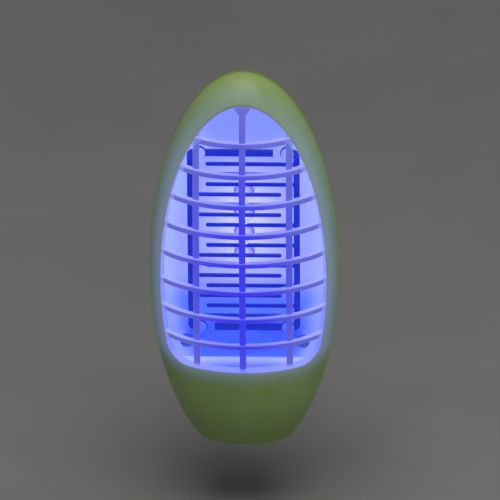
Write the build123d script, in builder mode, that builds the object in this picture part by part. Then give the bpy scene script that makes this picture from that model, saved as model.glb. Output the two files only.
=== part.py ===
from build123d import *
import os

# Electric bug zapper that plugs straight into a wall socket.
# Frame: origin at the centre of the plug's end face, between the pins; +Y into the wall, so the grille
# looks along -Y; +Z up. Millimetres.

# ---- Housing: an ellipsoid cut flat below and parted on a level-standing plane ----
HALF_WIDTH = 28.0
HALF_HEIGHT = 63.0
FRONT_DEPTH = 20.0          # from the parting plane to the nose of the grille
REAR_DEPTH = 22.0           # of the whole rear half ellipsoid, before its back is cut flat
FLAT_BELOW = 54.0           # centre down to the flat bottom
FLAT_BEHIND = 16.0          # parting plane back to the flat back
WALL = 2.0
REAR_WALL = 1.8
FLOOR = 1.8
PLUG_LENGTH = 17.0          # flat back to the plug's end face
PLUG_ABOVE_CENTRE = 6.0     # the plug's axis stands this far above the body's centre
PARTING_Y = -(PLUG_LENGTH + FLAT_BEHIND)
BODY_Z = -PLUG_ABOVE_CENTRE

# ---- Grille opening in the front ----
OPENING_HALF_WIDTH = 24.4
OPENING_HALF_HEIGHT = 56.1
LIP_BELOW = 26.2            # body centre down to the straight lower lip
LIP_CORNER = 7.0
BAR_PITCH = 9.0
BAR_COUNT = 8
TOP_BAR_Z = 45.5
BAR_HEIGHT = 1.5
UPRIGHT_WIDTH = 1.9
UPRIGHT_SPACING = 13.65
BAR_THICK = 2.0
BAR_INSET = 0.1             # level bars lie this far below the outer surface
SIDE_UPRIGHT_INSET = 1.1
CENTRE_UPRIGHT_INSET = 0.4
BAR_ROOT = 0.7              # how far a bar runs into the wall round the opening

# ---- Combs ----
COMB_Z = 11.0
COMB_DEPTH = 4.6            # parting plane to the back of the combs
COMB_THICK = 0.8
COMB_CORNER = 2.0
TOOTH_PITCH = 3.3
INNER_TEETH = 16            # rows between the two end bars, left and right rooted by turns
TOOTH_HEIGHT = 1.1
END_BAR_HEIGHT = 2.2
END_BAR_FROM_MIDDLE = 28.4
SPINE_X = 15.6
SPINE_WIDTH = 1.8
TOOTH_REACH = 11.1
END_BAR_REACH = 8.75
EYELET_X = 12.9
EYELET_RADIUS = 2.1
STAKE_RADIUS = 1.2
STAKE_HEAD_RADIUS = 1.8
STAKE_HEAD_THICK = 0.7

# ---- White panel ----
PANEL_THICK = 1.6
PANEL_HALF_WIDTH = 25.4
PANEL_HALF_HEIGHT = 60.2
PANEL_FOOT = 30.0           # body centre down to the panel's lower edge
PANEL_SCREW_X = 17.0
PANEL_SCREW_Z = -23.7
PANEL_BOSS_HEIGHT = 1.5
PANEL_BOSS_RADIUS = 2.6
LAMP_COUNT = 4
LAMP_PITCH = 2 * TOOTH_PITCH
LAMP_TOP_Z = COMB_Z + 2 * LAMP_PITCH
LAMP_HOLE = 3.1
LENS_RADIUS = 2.5
LENS_LENGTH = 8.6
RIM_RADIUS = 2.9
RIM_THICK = 1.0
HV_LEAD_Z = -0.55
HV_LEAD_RADIUS = 0.5

# ---- Circuit board ----
BOARD_FRONT = -5.6          # depths are forward of the parting plane, so the board stands behind it
BOARD_THICK = 1.6
BOARD_BACK = BOARD_FRONT - BOARD_THICK
BOARD_WIDTH = 34.0
BOARD_HEIGHT = 58.0
BOARD_CORNER = 4.0
BOARD_SCREW_X = 13.5
BOARD_SCREW_DZ = 24.5
LEG_RADIUS = 0.3
LAMP_LEG_STUB = 1.3
LAMP_LEG_SPREAD = 1.27

# ---- Components on the board's back: places are (x, z) from the body centre ----
COMPONENT_LIFT = 0.3
CAPACITOR_WIDTH = 5.5
CAPACITOR_HEIGHT = 12.0
CAPACITOR_DEPTH = 6.0
CAPACITOR_CORNER = 0.8
FILM_CAPACITORS = [(-9.5, 25.0), (-13.2, 8.0), (10.5, -3.5)]
ELECTROLYTIC_RADIUS = 2.5
ELECTROLYTIC_LENGTH = 11.0
ELECTROLYTICS = [(10.5, 27.0)]
DIODE_RADIUS = 1.35
DIODE_LENGTH = 5.2
DIODES = [(x, z) for z in (-2.0, -12.2) for x in (-3.6, 0.0, 3.6)]
RESISTOR_RADIUS = 1.2
RESISTOR_LENGTH = 6.3
RESISTORS = [(10.0, 12.0), (13.6, 12.0), (-3.6, 31.5), (0.0, 31.5), (3.6, 31.5)]
FUSE_RADIUS = 1.7
FUSE_LENGTH = 8.0
FUSES = [(-12.8, -4.9)]
LEG_RUN = 1.6               # a barrel's leg runs on this far before it bends down to the board

# ---- Insulated leads from the pin tails to the board ----
LEAD_RADIUS = 0.8
LEAD_BEND = 1.6
LEAD_PAD_X = 5.0
LEAD_PAD_Z = 12.0
LEAD_CORNER_Y = -21.0       # the first bend, straight ahead of the pin
LEAD_CLIMB_Y = -22.6        # the second bend, level with the pad

# ---- Tray and the guide that it slides in ----
TRAY_WIDTH = 22.8
TRAY_DEPTH = 13.0
TRAY_CORNER = 5.0
TRAY_WALL = 1.1
TRAY_BASE = 4.0
TRAY_TOP_Z = -37.6
TRAY_GAP = 0.3
GUIDE_TOP_Z = -PANEL_FOOT
GUIDE_PLATE = 1.6
FUNNEL_FOOT_Z = -37.0
SLEEVE_FOOT_Z = -50.4
GUIDE_WALL = 0.9
SLOT_WIDTH = 35.0
SLOT_DEPTH = 6.4
SLOT_FORWARD = 4.0
SLOT_CORNER = 3.0
SHELF_HALF_WIDTH = 22.2
SHELF_HALF_DEPTH = 15.0
SHELF_BACK = 9.0            # parting plane back to the shelf's straight rear edge
POCKET_WIDTH = 14.8         # finger pocket under the tray
POCKET_DEPTH = 9.0
POCKET_CORNER = 2.0
PULL_RIB = 2.0              # left standing across the middle of the pocket

# ---- Plug: the body and pins of a 2.5 A europlug ----
PLUG_HALF_WIDTH = 17.65
PLUG_HALF_HEIGHT = 6.85
PLUG_FLAT_HALF = 11.0
PLUG_WALL = 2.0
PLUG_FACE_THICK = 3.0
PLUG_CORNER = 1.6
PIN_SPACING = 18.6
PIN_RADIUS = 2.0
PIN_CORE = 1.5
PIN_LENGTH = 19.0
SLEEVE_LENGTH = 10.0
SLEEVE_RADIUS = 1.8
PIN_FLANGE_RADIUS = 3.0
PIN_FLANGE_THICK = 1.5
PIN_TAIL_RADIUS = 1.2
PIN_TAIL_Y = -10.0
RETAINER_THICK = 2.0
RETAINER_WIDTH = 24.0
RETAINER_HEIGHT = 8.0
RETAINER_CORNER = 2.5

# ---- Screws ----
PILOT_RADIUS = 0.9          # also the screws' own shank
CLEAR_RADIUS = 1.2
HEAD_RADIUS = 2.1
HEAD_THICK = 1.4
HEAD_ROUNDING = 0.7
CROSS_LENGTH = 2.2
CROSS_WIDTH = 0.5
CROSS_DEPTH = 0.8
HOUSING_SCREWS = [(0, OPENING_HALF_HEIGHT), (16.2, -44.0), (-16.2, -44.0)]
HOUSING_SEAT = -3.0
HOUSING_SCREW_LENGTH = 8.0
HOUSING_PILOT_DEPTH = 5.5
RETAINER_SCREW_LENGTH = 4.5
PANEL_SCREW_LENGTH = 7.5
PANEL_PILOT_DEPTH = 6.0
BOARD_SCREW_LENGTH = 5.5
BOARD_PILOT_DEPTH = 5.0
COUNTERBORE = 2.4
TUBE_RADIUS = 3.4
POST_RADIUS = 2.4
POST_INSET = 0.4            # posts stop this far under the housing's outer surface


def at_depth(depth, x=0.0, z=0.0):
    """Plane facing the viewer that far ahead of the parting plane; x right and z up from the body centre."""
    return Plane(origin=(x, PARTING_Y - depth, BODY_Z + z), x_dir=(1, 0, 0), z_dir=(0, -1, 0))


def at_height(height):
    """Level plane that far above the body centre, its own y pointing at the wall."""
    return Plane(origin=(0, PARTING_Y, BODY_Z + height), x_dir=(1, 0, 0), z_dir=(0, 0, 1))


def ellipsoid(depth, inset=0.0):
    """Whole ellipsoid about the body centre, everywhere the inset inside the housing's own."""
    with BuildPart() as ball:
        Sphere(1, rotation=(0, 0, 90))
        scale(by=(HALF_WIDTH - inset, depth - inset, HALF_HEIGHT - inset))
    return Location((0, PARTING_Y, BODY_Z)) * ball.part


def pegs(places, radius, start, end):
    """Round pegs between two depths, one at each (x, z) place."""
    with BuildPart() as group:
        for x, z in places:
            with BuildSketch(at_depth(start, x, z)):
                Circle(radius)
            extrude(amount=end - start)
    return group.part


def finish(piece, name):
    """Name the piece and write it."""
    piece.label = name
    export_step(piece, f"parts/{name}.step")


os.makedirs("parts", exist_ok=True)
BAR_HEIGHTS = [TOP_BAR_Z - BAR_PITCH * i for i in range(BAR_COUNT)]
LAMP_HEIGHTS = [LAMP_TOP_Z - LAMP_PITCH * i for i in range(LAMP_COUNT)]


# ---- Front cover, with its grille ----
def opening_outline(grow):
    """Sketch of the opening: an ellipse cut off by the straight lip, grown outwards by that much."""
    with BuildSketch() as outline:
        Ellipse(OPENING_HALF_WIDTH + grow, OPENING_HALF_HEIGHT + grow)
        with Locations((0, -LIP_BELOW - grow)):
            Rectangle(3 * HALF_WIDTH, 3 * HALF_HEIGHT, align=(Align.CENTER, Align.MIN), mode=Mode.INTERSECT)
        fillet(outline.vertices().group_by(Axis.Y)[0], LIP_CORNER)
    return outline.sketch


def grille_band(inset, thick, lines):
    """The part of a thin shell under the housing's surface that lies behind the lines of a sketch."""
    with BuildPart() as band:
        add(ellipsoid(FRONT_DEPTH, inset))
        add(ellipsoid(FRONT_DEPTH, inset + thick), mode=Mode.SUBTRACT)
        with BuildSketch(at_depth(0)):
            add(lines)
            add(opening_outline(BAR_ROOT), mode=Mode.INTERSECT)
        extrude(amount=FRONT_DEPTH + WALL, mode=Mode.INTERSECT)
    return band.part


def upright_lines(places):
    """Sketch of upright bars at those distances from the middle."""
    with BuildSketch() as lines:
        with Locations([(x, 0) for x in places]):
            Rectangle(UPRIGHT_WIDTH, 2 * HALF_HEIGHT)
    return lines.sketch


with BuildSketch() as level_lines:
    with Locations([(0, z) for z in BAR_HEIGHTS]):
        Rectangle(2 * HALF_WIDTH, BAR_HEIGHT)

with BuildPart() as front_cavity:
    add(ellipsoid(FRONT_DEPTH, WALL))
    split(bisect_by=at_height(FLOOR - FLAT_BELOW), keep=Keep.TOP)

with BuildPart() as front_posts:
    add(pegs(HOUSING_SCREWS, POST_RADIUS, 0, FRONT_DEPTH))
    add(ellipsoid(FRONT_DEPTH, POST_INSET), mode=Mode.INTERSECT)

with BuildPart() as front_cover:
    add(ellipsoid(FRONT_DEPTH))
    split(bisect_by=at_depth(0), keep=Keep.TOP)
    split(bisect_by=at_height(-FLAT_BELOW), keep=Keep.TOP)
    add(front_cavity.part, mode=Mode.SUBTRACT)
    with BuildSketch(at_depth(0)):
        add(opening_outline(0))
    extrude(amount=FRONT_DEPTH + WALL, mode=Mode.SUBTRACT)
    add(grille_band(BAR_INSET, BAR_THICK, level_lines.sketch))
    add(grille_band(CENTRE_UPRIGHT_INSET, BAR_THICK, upright_lines([0])))
    add(grille_band(SIDE_UPRIGHT_INSET, BAR_THICK, upright_lines([-UPRIGHT_SPACING, UPRIGHT_SPACING])))
    add(front_posts.part)
    add(pegs(HOUSING_SCREWS, PILOT_RADIUS, 0, HOUSING_PILOT_DEPTH), mode=Mode.SUBTRACT)
    with BuildSketch(at_height(-FLAT_BELOW)):
        RectangleRounded(TRAY_WIDTH + 2 * TRAY_GAP, TRAY_DEPTH + 2 * TRAY_GAP, TRAY_CORNER + TRAY_GAP)
    extrude(amount=2 * FLOOR, mode=Mode.SUBTRACT)
finish(front_cover.part, "front_cover")


# ---- Rear cover, with the hollow plug block ----
def plug_outline(inset):
    """Flattened hexagon of the plug, the inset smaller all round."""
    half_width = PLUG_HALF_WIDTH - inset
    half_height = PLUG_HALF_HEIGHT - inset
    with BuildSketch() as outline:
        with BuildLine():
            upper = Polyline(
                (-half_width, 0),
                (-PLUG_FLAT_HALF, half_height),
                (PLUG_FLAT_HALF, half_height),
                (half_width, 0),
            )
            mirror(upper, about=Plane.XZ)
        make_face()
        fillet(outline.vertices(), PLUG_CORNER)
    return outline.sketch


PIN_PLACES = [(-PIN_SPACING / 2, 0), (PIN_SPACING / 2, 0)]
BOARD_SCREWS = [
    (x, COMB_Z + dz)
    for x in (-BOARD_SCREW_X, BOARD_SCREW_X)
    for dz in (-BOARD_SCREW_DZ, BOARD_SCREW_DZ)
]
PANEL_SCREWS = [(-PANEL_SCREW_X, PANEL_SCREW_Z), (PANEL_SCREW_X, PANEL_SCREW_Z)]
PLUG_FACE = Plane(origin=(0, 0, 0), x_dir=(-1, 0, 0), z_dir=(0, 1, 0))

with BuildPart() as rear_cavity:
    add(ellipsoid(REAR_DEPTH, REAR_WALL))
    split(bisect_by=at_height(FLOOR - FLAT_BELOW), keep=Keep.TOP)
    split(bisect_by=at_depth(REAR_WALL - FLAT_BEHIND), keep=Keep.TOP)

with BuildPart() as rear_posts:
    add(pegs(HOUSING_SCREWS, TUBE_RADIUS, 0, -FLAT_BEHIND))
    add(pegs(BOARD_SCREWS, POST_RADIUS, BOARD_BACK, -FLAT_BEHIND))
    add(pegs(PANEL_SCREWS, POST_RADIUS, -PANEL_THICK, -FLAT_BEHIND))
    add(ellipsoid(REAR_DEPTH, POST_INSET), mode=Mode.INTERSECT)

with BuildPart() as rear_cover:
    add(ellipsoid(REAR_DEPTH))
    split(bisect_by=at_depth(0), keep=Keep.BOTTOM)
    split(bisect_by=at_height(-FLAT_BELOW), keep=Keep.TOP)
    split(bisect_by=at_depth(-FLAT_BEHIND), keep=Keep.TOP)
    add(rear_cavity.part, mode=Mode.SUBTRACT)
    add(rear_posts.part)
    with BuildSketch(PLUG_FACE):
        add(plug_outline(0))
    extrude(amount=-PLUG_LENGTH - REAR_WALL)
    with BuildSketch(PLUG_FACE.offset(-PLUG_FACE_THICK)):
        add(plug_outline(PLUG_WALL))
    extrude(amount=-PLUG_LENGTH, mode=Mode.SUBTRACT)
    with BuildSketch(PLUG_FACE.offset(-PLUG_FACE_THICK)):
        Circle(POST_RADIUS)
    extrude(amount=-PIN_FLANGE_THICK)
    with BuildSketch(PLUG_FACE.offset(-PLUG_FACE_THICK - PIN_FLANGE_THICK)):
        Circle(PILOT_RADIUS)
    extrude(amount=PLUG_FACE_THICK, mode=Mode.SUBTRACT)
    with BuildSketch(PLUG_FACE.offset(-PLUG_FACE_THICK)):
        with Locations(PIN_PLACES):
            Circle(SLEEVE_RADIUS)
    extrude(amount=PLUG_FACE_THICK, mode=Mode.SUBTRACT)
    add(pegs(HOUSING_SCREWS, CLEAR_RADIUS, 0, HOUSING_SEAT), mode=Mode.SUBTRACT)
    add(pegs(HOUSING_SCREWS, COUNTERBORE, HOUSING_SEAT, -FLAT_BEHIND), mode=Mode.SUBTRACT)
    add(pegs(BOARD_SCREWS, PILOT_RADIUS, BOARD_BACK, BOARD_BACK - BOARD_PILOT_DEPTH), mode=Mode.SUBTRACT)
    add(pegs(PANEL_SCREWS, PILOT_RADIUS, -PANEL_THICK, -PANEL_THICK - PANEL_PILOT_DEPTH), mode=Mode.SUBTRACT)
    with BuildSketch(at_height(-FLAT_BELOW)):
        RectangleRounded(TRAY_WIDTH + 2 * TRAY_GAP, TRAY_DEPTH + 2 * TRAY_GAP, TRAY_CORNER + TRAY_GAP)
    extrude(amount=2 * FLOOR, mode=Mode.SUBTRACT)
finish(rear_cover.part, "rear_cover")


# ---- Plug pins, sleeves and retainer ----
for side, name in ((-1, "left"), (1, "right")):
    pin_axis = Plane(origin=(side * PIN_SPACING / 2, 0, 0), x_dir=(1, 0, 0), z_dir=(0, 0, 1))
    flange_back = -PLUG_FACE_THICK - PIN_FLANGE_THICK
    with BuildPart() as pin:
        with BuildSketch(pin_axis):
            with BuildLine():
                Polyline(
                    (0, PIN_TAIL_Y),
                    (PIN_TAIL_RADIUS, PIN_TAIL_Y),
                    (PIN_TAIL_RADIUS, flange_back),
                    (PIN_FLANGE_RADIUS, flange_back),
                    (PIN_FLANGE_RADIUS, -PLUG_FACE_THICK),
                    (PIN_CORE, -PLUG_FACE_THICK),
                    (PIN_CORE, SLEEVE_LENGTH),
                    (PIN_RADIUS, SLEEVE_LENGTH),
                    (PIN_RADIUS, PIN_LENGTH - PIN_RADIUS),
                )
                RadiusArc((PIN_RADIUS, PIN_LENGTH - PIN_RADIUS), (0, PIN_LENGTH), -PIN_RADIUS)
                Line((0, PIN_LENGTH), (0, PIN_TAIL_Y))
            make_face()
        revolve(axis=Axis(pin_axis.origin, (0, 1, 0)))
    finish(pin.part, f"plug_pin_{name}")

    with BuildPart() as sleeve:
        sleeve_root = Plane(origin=pin_axis.origin, x_dir=(-1, 0, 0), z_dir=(0, 1, 0))
        with BuildSketch(sleeve_root.offset(-PLUG_FACE_THICK)):
            Circle(SLEEVE_RADIUS)
            Circle(PIN_CORE, mode=Mode.SUBTRACT)
        extrude(amount=PLUG_FACE_THICK + SLEEVE_LENGTH)
    finish(sleeve.part, f"pin_sleeve_{name}")

RETAINER_FACE = PLUG_FACE.offset(-PLUG_FACE_THICK - PIN_FLANGE_THICK)
with BuildPart() as pin_retainer:
    with BuildSketch(RETAINER_FACE):
        RectangleRounded(RETAINER_WIDTH, RETAINER_HEIGHT, RETAINER_CORNER)
        with Locations(PIN_PLACES):
            Circle(PIN_TAIL_RADIUS, mode=Mode.SUBTRACT)
        Circle(CLEAR_RADIUS, mode=Mode.SUBTRACT)
    extrude(amount=-RETAINER_THICK)
finish(pin_retainer.part, "pin_retainer")


# ---- Screws: pan heads with a cross recess ----
def screws(planes, length):
    """Pan-head screws whose heads stand on those planes, their shanks pointing down into them."""
    with BuildPart() as group:
        for seat in planes:
            with BuildSketch(seat):
                Circle(HEAD_RADIUS)
            extrude(amount=HEAD_THICK)
            fillet(group.edges(Select.LAST).sort_by(Axis(seat.origin, seat.z_dir))[-1], HEAD_ROUNDING)
            with BuildSketch(seat):
                Circle(PILOT_RADIUS)
            extrude(amount=-length)
            with BuildSketch(seat.offset(HEAD_THICK)):
                Rectangle(CROSS_LENGTH, CROSS_WIDTH)
                Rectangle(CROSS_WIDTH, CROSS_LENGTH)
            extrude(amount=-CROSS_DEPTH, mode=Mode.SUBTRACT)
    return group.part


FROM_BEHIND = (180, 0, 0)
retainer_seats = [RETAINER_FACE.offset(-RETAINER_THICK).rotated(FROM_BEHIND)]
housing_seats = [at_depth(HOUSING_SEAT, x, z).rotated(FROM_BEHIND) for x, z in HOUSING_SCREWS]
panel_seats = [at_depth(PANEL_BOSS_HEIGHT, x, z) for x, z in PANEL_SCREWS]
board_seats = [at_depth(BOARD_FRONT, x, z) for x, z in BOARD_SCREWS]
finish(screws(retainer_seats, RETAINER_SCREW_LENGTH), "retainer_screw")
finish(screws(housing_seats, HOUSING_SCREW_LENGTH), "housing_screws")
finish(screws(panel_seats, PANEL_SCREW_LENGTH), "panel_screws")
finish(screws(board_seats, BOARD_SCREW_LENGTH), "board_screws")


# ---- White panel behind the combs ----
STAKES = [
    (x, COMB_Z + dz)
    for x in (-EYELET_X, EYELET_X)
    for dz in (-END_BAR_FROM_MIDDLE, END_BAR_FROM_MIDDLE)
]
STAKE_END = COMB_DEPTH + COMB_THICK
HV_LEADS = {"left": (-SPINE_X, HV_LEAD_Z), "right": (SPINE_X, 2 * COMB_Z - HV_LEAD_Z)}

with BuildPart() as reflector_panel:
    with BuildSketch(at_depth(-PANEL_THICK)):
        Ellipse(PANEL_HALF_WIDTH, PANEL_HALF_HEIGHT)
        with Locations((0, -PANEL_FOOT)):
            Rectangle(3 * HALF_WIDTH, 3 * HALF_HEIGHT, align=(Align.CENTER, Align.MIN), mode=Mode.INTERSECT)
        with Locations(HOUSING_SCREWS[0]):
            Circle(TUBE_RADIUS, mode=Mode.SUBTRACT)
        with Locations([(0, z) for z in LAMP_HEIGHTS]):
            Circle(LAMP_HOLE, mode=Mode.SUBTRACT)
        with Locations(list(HV_LEADS.values())):
            Circle(CLEAR_RADIUS, mode=Mode.SUBTRACT)
    extrude(amount=PANEL_THICK)
    add(pegs(PANEL_SCREWS, PANEL_BOSS_RADIUS, 0, PANEL_BOSS_HEIGHT))
    add(pegs(PANEL_SCREWS, CLEAR_RADIUS, -PANEL_THICK, PANEL_BOSS_HEIGHT), mode=Mode.SUBTRACT)
    add(pegs(STAKES, EYELET_RADIUS, 0, COMB_DEPTH))
    add(pegs(STAKES, STAKE_RADIUS, COMB_DEPTH, STAKE_END))
    add(pegs(STAKES, STAKE_HEAD_RADIUS, STAKE_END, STAKE_END + STAKE_HEAD_THICK))
finish(reflector_panel.part, "reflector_panel")


# ---- The two combs: one stamping, used twice half a turn apart ----
TOOTH_TIP_X = TOOTH_REACH - TOOTH_HEIGHT / 2
with BuildPart() as comb:
    with BuildSketch() as stamping:
        outer_x = -SPINE_X - SPINE_WIDTH / 2
        from_left = (Align.MIN, Align.CENTER)
        with Locations((-SPINE_X, 0)):
            Rectangle(SPINE_WIDTH, 2 * END_BAR_FROM_MIDDLE + END_BAR_HEIGHT)
        with Locations((outer_x, END_BAR_FROM_MIDDLE)):
            Rectangle(END_BAR_REACH - outer_x, END_BAR_HEIGHT, align=from_left)
        with Locations((outer_x, -END_BAR_FROM_MIDDLE)):
            Rectangle(-EYELET_X - outer_x, END_BAR_HEIGHT, align=from_left)
        for row in range(1, INNER_TEETH, 2):
            tooth_z = ((INNER_TEETH - 1) / 2 - row) * TOOTH_PITCH
            with Locations((-SPINE_X, tooth_z)):
                Rectangle(SPINE_X + TOOTH_TIP_X, TOOTH_HEIGHT, align=from_left)
            with Locations((TOOTH_TIP_X, tooth_z)):
                Circle(TOOTH_HEIGHT / 2)
        fillet(stamping.vertices().group_by(Axis.X)[0], COMB_CORNER)
        with Locations((-EYELET_X, -END_BAR_FROM_MIDDLE), (-EYELET_X, END_BAR_FROM_MIDDLE)):
            Circle(EYELET_RADIUS)
            Circle(STAKE_RADIUS, mode=Mode.SUBTRACT)
    extrude(amount=COMB_THICK)

comb_on_stakes = at_depth(COMB_DEPTH, 0, COMB_Z)
electrode_left = comb_on_stakes.location * comb.part
electrode_right = (comb_on_stakes.location * Location((0, 0, 0), (0, 0, 180))) * comb.part
finish(electrode_left, "electrode_left")
finish(electrode_right, "electrode_right")


# ---- Lamps ----
for number, lamp_z in enumerate(LAMP_HEIGHTS, start=1):
    seat = at_depth(BOARD_FRONT, 0, lamp_z)
    with BuildPart() as lamp:
        with BuildSketch(seat):
            Circle(RIM_RADIUS)
        extrude(amount=RIM_THICK)
        with BuildSketch(seat):
            Circle(LENS_RADIUS)
        extrude(amount=LENS_LENGTH - LENS_RADIUS)
        with Locations(seat.offset(LENS_LENGTH - LENS_RADIUS).location):
            Sphere(LENS_RADIUS)
    finish(lamp.part, f"led_{number}")

LAMP_LEGS = [(x, z) for x in (-LAMP_LEG_SPREAD, LAMP_LEG_SPREAD) for z in LAMP_HEIGHTS]
finish(pegs(LAMP_LEGS, LEG_RADIUS, BOARD_BACK, BOARD_BACK - LAMP_LEG_STUB), "led_legs")


# ---- Circuit board and what it carries on its back ----
with BuildPart() as main_board:
    with BuildSketch(at_depth(BOARD_BACK, 0, COMB_Z)):
        RectangleRounded(BOARD_WIDTH, BOARD_HEIGHT, BOARD_CORNER)
        with Locations([(x, z - COMB_Z) for x, z in BOARD_SCREWS]):
            Circle(CLEAR_RADIUS, mode=Mode.SUBTRACT)
    extrude(amount=BOARD_THICK)
finish(main_board.part, "main_board")


def standing_boxes(places, width, height, depth):
    """Box-shaped components hanging off the board's back, a little clear of it."""
    with BuildPart() as group:
        for x, z in places:
            with BuildSketch(at_depth(BOARD_BACK - COMPONENT_LIFT, x, z)):
                RectangleRounded(width, height, CAPACITOR_CORNER)
            extrude(amount=-depth)
    return group.part


def lying_barrels(places, radius, length):
    """Barrel-shaped components lying upright along the board's back."""
    with BuildPart() as group:
        for x, z in places:
            barrel = Plane(at_depth(BOARD_BACK - COMPONENT_LIFT - radius, x, z).origin)
            with BuildSketch(barrel.offset(-length / 2)):
                Circle(radius)
            extrude(amount=length)
        fillet(group.edges().filter_by(GeomType.CIRCLE), radius * 0.3)
    return group.part


def barrel_legs(places, radius, length):
    """Bent wire legs at both ends of lying barrels, each running out and down to the board."""
    with BuildPart() as group:
        for x, z in places:
            axis_point = at_depth(BOARD_BACK - COMPONENT_LIFT - radius, x, z).origin
            for end in (-1, 1):
                start = axis_point + Vector(0, 0, end * length / 2)
                corner = start + Vector(0, 0, end * LEG_RUN)
                foot = corner - Vector(0, COMPONENT_LIFT + radius, 0)
                with BuildLine() as route:
                    FilletPolyline(start, corner, foot, radius=min(radius, 1.0) * 0.8)
                with BuildSketch(Plane(origin=start, z_dir=(0, 0, end))):
                    Circle(LEG_RADIUS)
                sweep(path=route.wires()[0])
    return group.part


film_capacitors = standing_boxes(FILM_CAPACITORS, CAPACITOR_WIDTH, CAPACITOR_HEIGHT, CAPACITOR_DEPTH)
finish(film_capacitors, "film_capacitors")
finish(lying_barrels(ELECTROLYTICS, ELECTROLYTIC_RADIUS, ELECTROLYTIC_LENGTH), "electrolytic_capacitor")
finish(lying_barrels(DIODES, DIODE_RADIUS, DIODE_LENGTH), "diodes")
finish(lying_barrels(RESISTORS, RESISTOR_RADIUS, RESISTOR_LENGTH), "resistors")
finish(lying_barrels(FUSES, FUSE_RADIUS, FUSE_LENGTH), "fuse_resistor")
with BuildPart() as component_legs:
    add(barrel_legs(DIODES, DIODE_RADIUS, DIODE_LENGTH))
    add(barrel_legs(RESISTORS, RESISTOR_RADIUS, RESISTOR_LENGTH))
    add(barrel_legs(FUSES, FUSE_RADIUS, FUSE_LENGTH))
finish(component_legs.part, "component_legs")

for name, (x, z) in HV_LEADS.items():
    finish(pegs([(x, z)], HV_LEAD_RADIUS, BOARD_FRONT, COMB_DEPTH), f"hv_lead_{name}")

# Insulated leads from the pin tails to the board, held inside the plug block and rear cover
for side, name in ((-1, "live_lead"), (1, "neutral_lead")):
    pad = at_depth(BOARD_BACK, side * LEAD_PAD_X, LEAD_PAD_Z).origin
    tail = Vector(side * PIN_SPACING / 2, PIN_TAIL_Y, 0)
    with BuildPart() as lead:
        with BuildLine() as route:
            ahead = (tail.X, LEAD_CORNER_Y, 0)
            above = (pad.X, LEAD_CLIMB_Y, pad.Z)
            FilletPolyline(tail, ahead, above, pad, radius=LEAD_BEND)
        with BuildSketch(Plane(origin=tail, z_dir=(0, -1, 0))):
            Circle(LEAD_RADIUS)
        sweep(path=route.wires()[0])
    finish(lead.part, name)


# ---- Tray guide: shelf, slot, funnel and sleeve ----
with BuildPart() as funnel_bore:
    with BuildSketch(at_height(GUIDE_TOP_Z)):
        with Locations((0, -SLOT_FORWARD)):
            RectangleRounded(SLOT_WIDTH, SLOT_DEPTH, SLOT_CORNER)
    with BuildSketch(at_height(FUNNEL_FOOT_Z)):
        RectangleRounded(TRAY_WIDTH - 2 * TRAY_WALL, TRAY_DEPTH - 2 * TRAY_WALL, TRAY_CORNER - TRAY_WALL)
    loft()

with BuildPart() as tray_guide:
    with BuildSketch(at_height(GUIDE_TOP_Z)):
        with Locations((0, -SLOT_FORWARD)):
            RectangleRounded(
                SLOT_WIDTH + 2 * GUIDE_WALL,
                SLOT_DEPTH + 2 * GUIDE_WALL,
                SLOT_CORNER + GUIDE_WALL,
            )
    with BuildSketch(at_height(FUNNEL_FOOT_Z)):
        guide_gap = 2 * (TRAY_GAP + GUIDE_WALL)
        RectangleRounded(TRAY_WIDTH + guide_gap, TRAY_DEPTH + guide_gap, TRAY_CORNER + guide_gap / 2)
    loft()
    with BuildSketch(at_height(GUIDE_TOP_Z)):
        Ellipse(SHELF_HALF_WIDTH, SHELF_HALF_DEPTH)
        with Locations((0, SHELF_BACK)):
            Rectangle(3 * HALF_WIDTH, 2 * HALF_WIDTH, align=(Align.CENTER, Align.MAX), mode=Mode.INTERSECT)
    extrude(amount=-GUIDE_PLATE)
    with BuildSketch(at_height(FUNNEL_FOOT_Z)):
        RectangleRounded(TRAY_WIDTH + guide_gap, TRAY_DEPTH + guide_gap, TRAY_CORNER + guide_gap / 2)
    extrude(amount=SLEEVE_FOOT_Z - FUNNEL_FOOT_Z)
    add(funnel_bore.part, mode=Mode.SUBTRACT)
    with BuildSketch(at_height(FUNNEL_FOOT_Z)):
        RectangleRounded(TRAY_WIDTH + 2 * TRAY_GAP, TRAY_DEPTH + 2 * TRAY_GAP, TRAY_CORNER + TRAY_GAP)
    extrude(amount=SLEEVE_FOOT_Z - FUNNEL_FOOT_Z, mode=Mode.SUBTRACT)
finish(tray_guide.part, "tray_guide")


# ---- Collection tray ----
with BuildPart() as collection_tray:
    with BuildSketch(at_height(-FLAT_BELOW)):
        RectangleRounded(TRAY_WIDTH, TRAY_DEPTH, TRAY_CORNER)
    extrude(amount=TRAY_TOP_Z + FLAT_BELOW)
    with BuildSketch(at_height(TRAY_BASE - FLAT_BELOW)):
        RectangleRounded(TRAY_WIDTH - 2 * TRAY_WALL, TRAY_DEPTH - 2 * TRAY_WALL, TRAY_CORNER - TRAY_WALL)
    extrude(amount=TRAY_TOP_Z + FLAT_BELOW, mode=Mode.SUBTRACT)
    with BuildSketch(at_height(-FLAT_BELOW)):
        RectangleRounded(POCKET_WIDTH, POCKET_DEPTH, POCKET_CORNER)
        Rectangle(PULL_RIB, TRAY_DEPTH, mode=Mode.SUBTRACT)
    extrude(amount=TRAY_BASE - TRAY_WALL, mode=Mode.SUBTRACT)
finish(collection_tray.part, "collection_tray")
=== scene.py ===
import math

import bmesh
import bpy
from mathutils import Matrix, Vector


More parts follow.
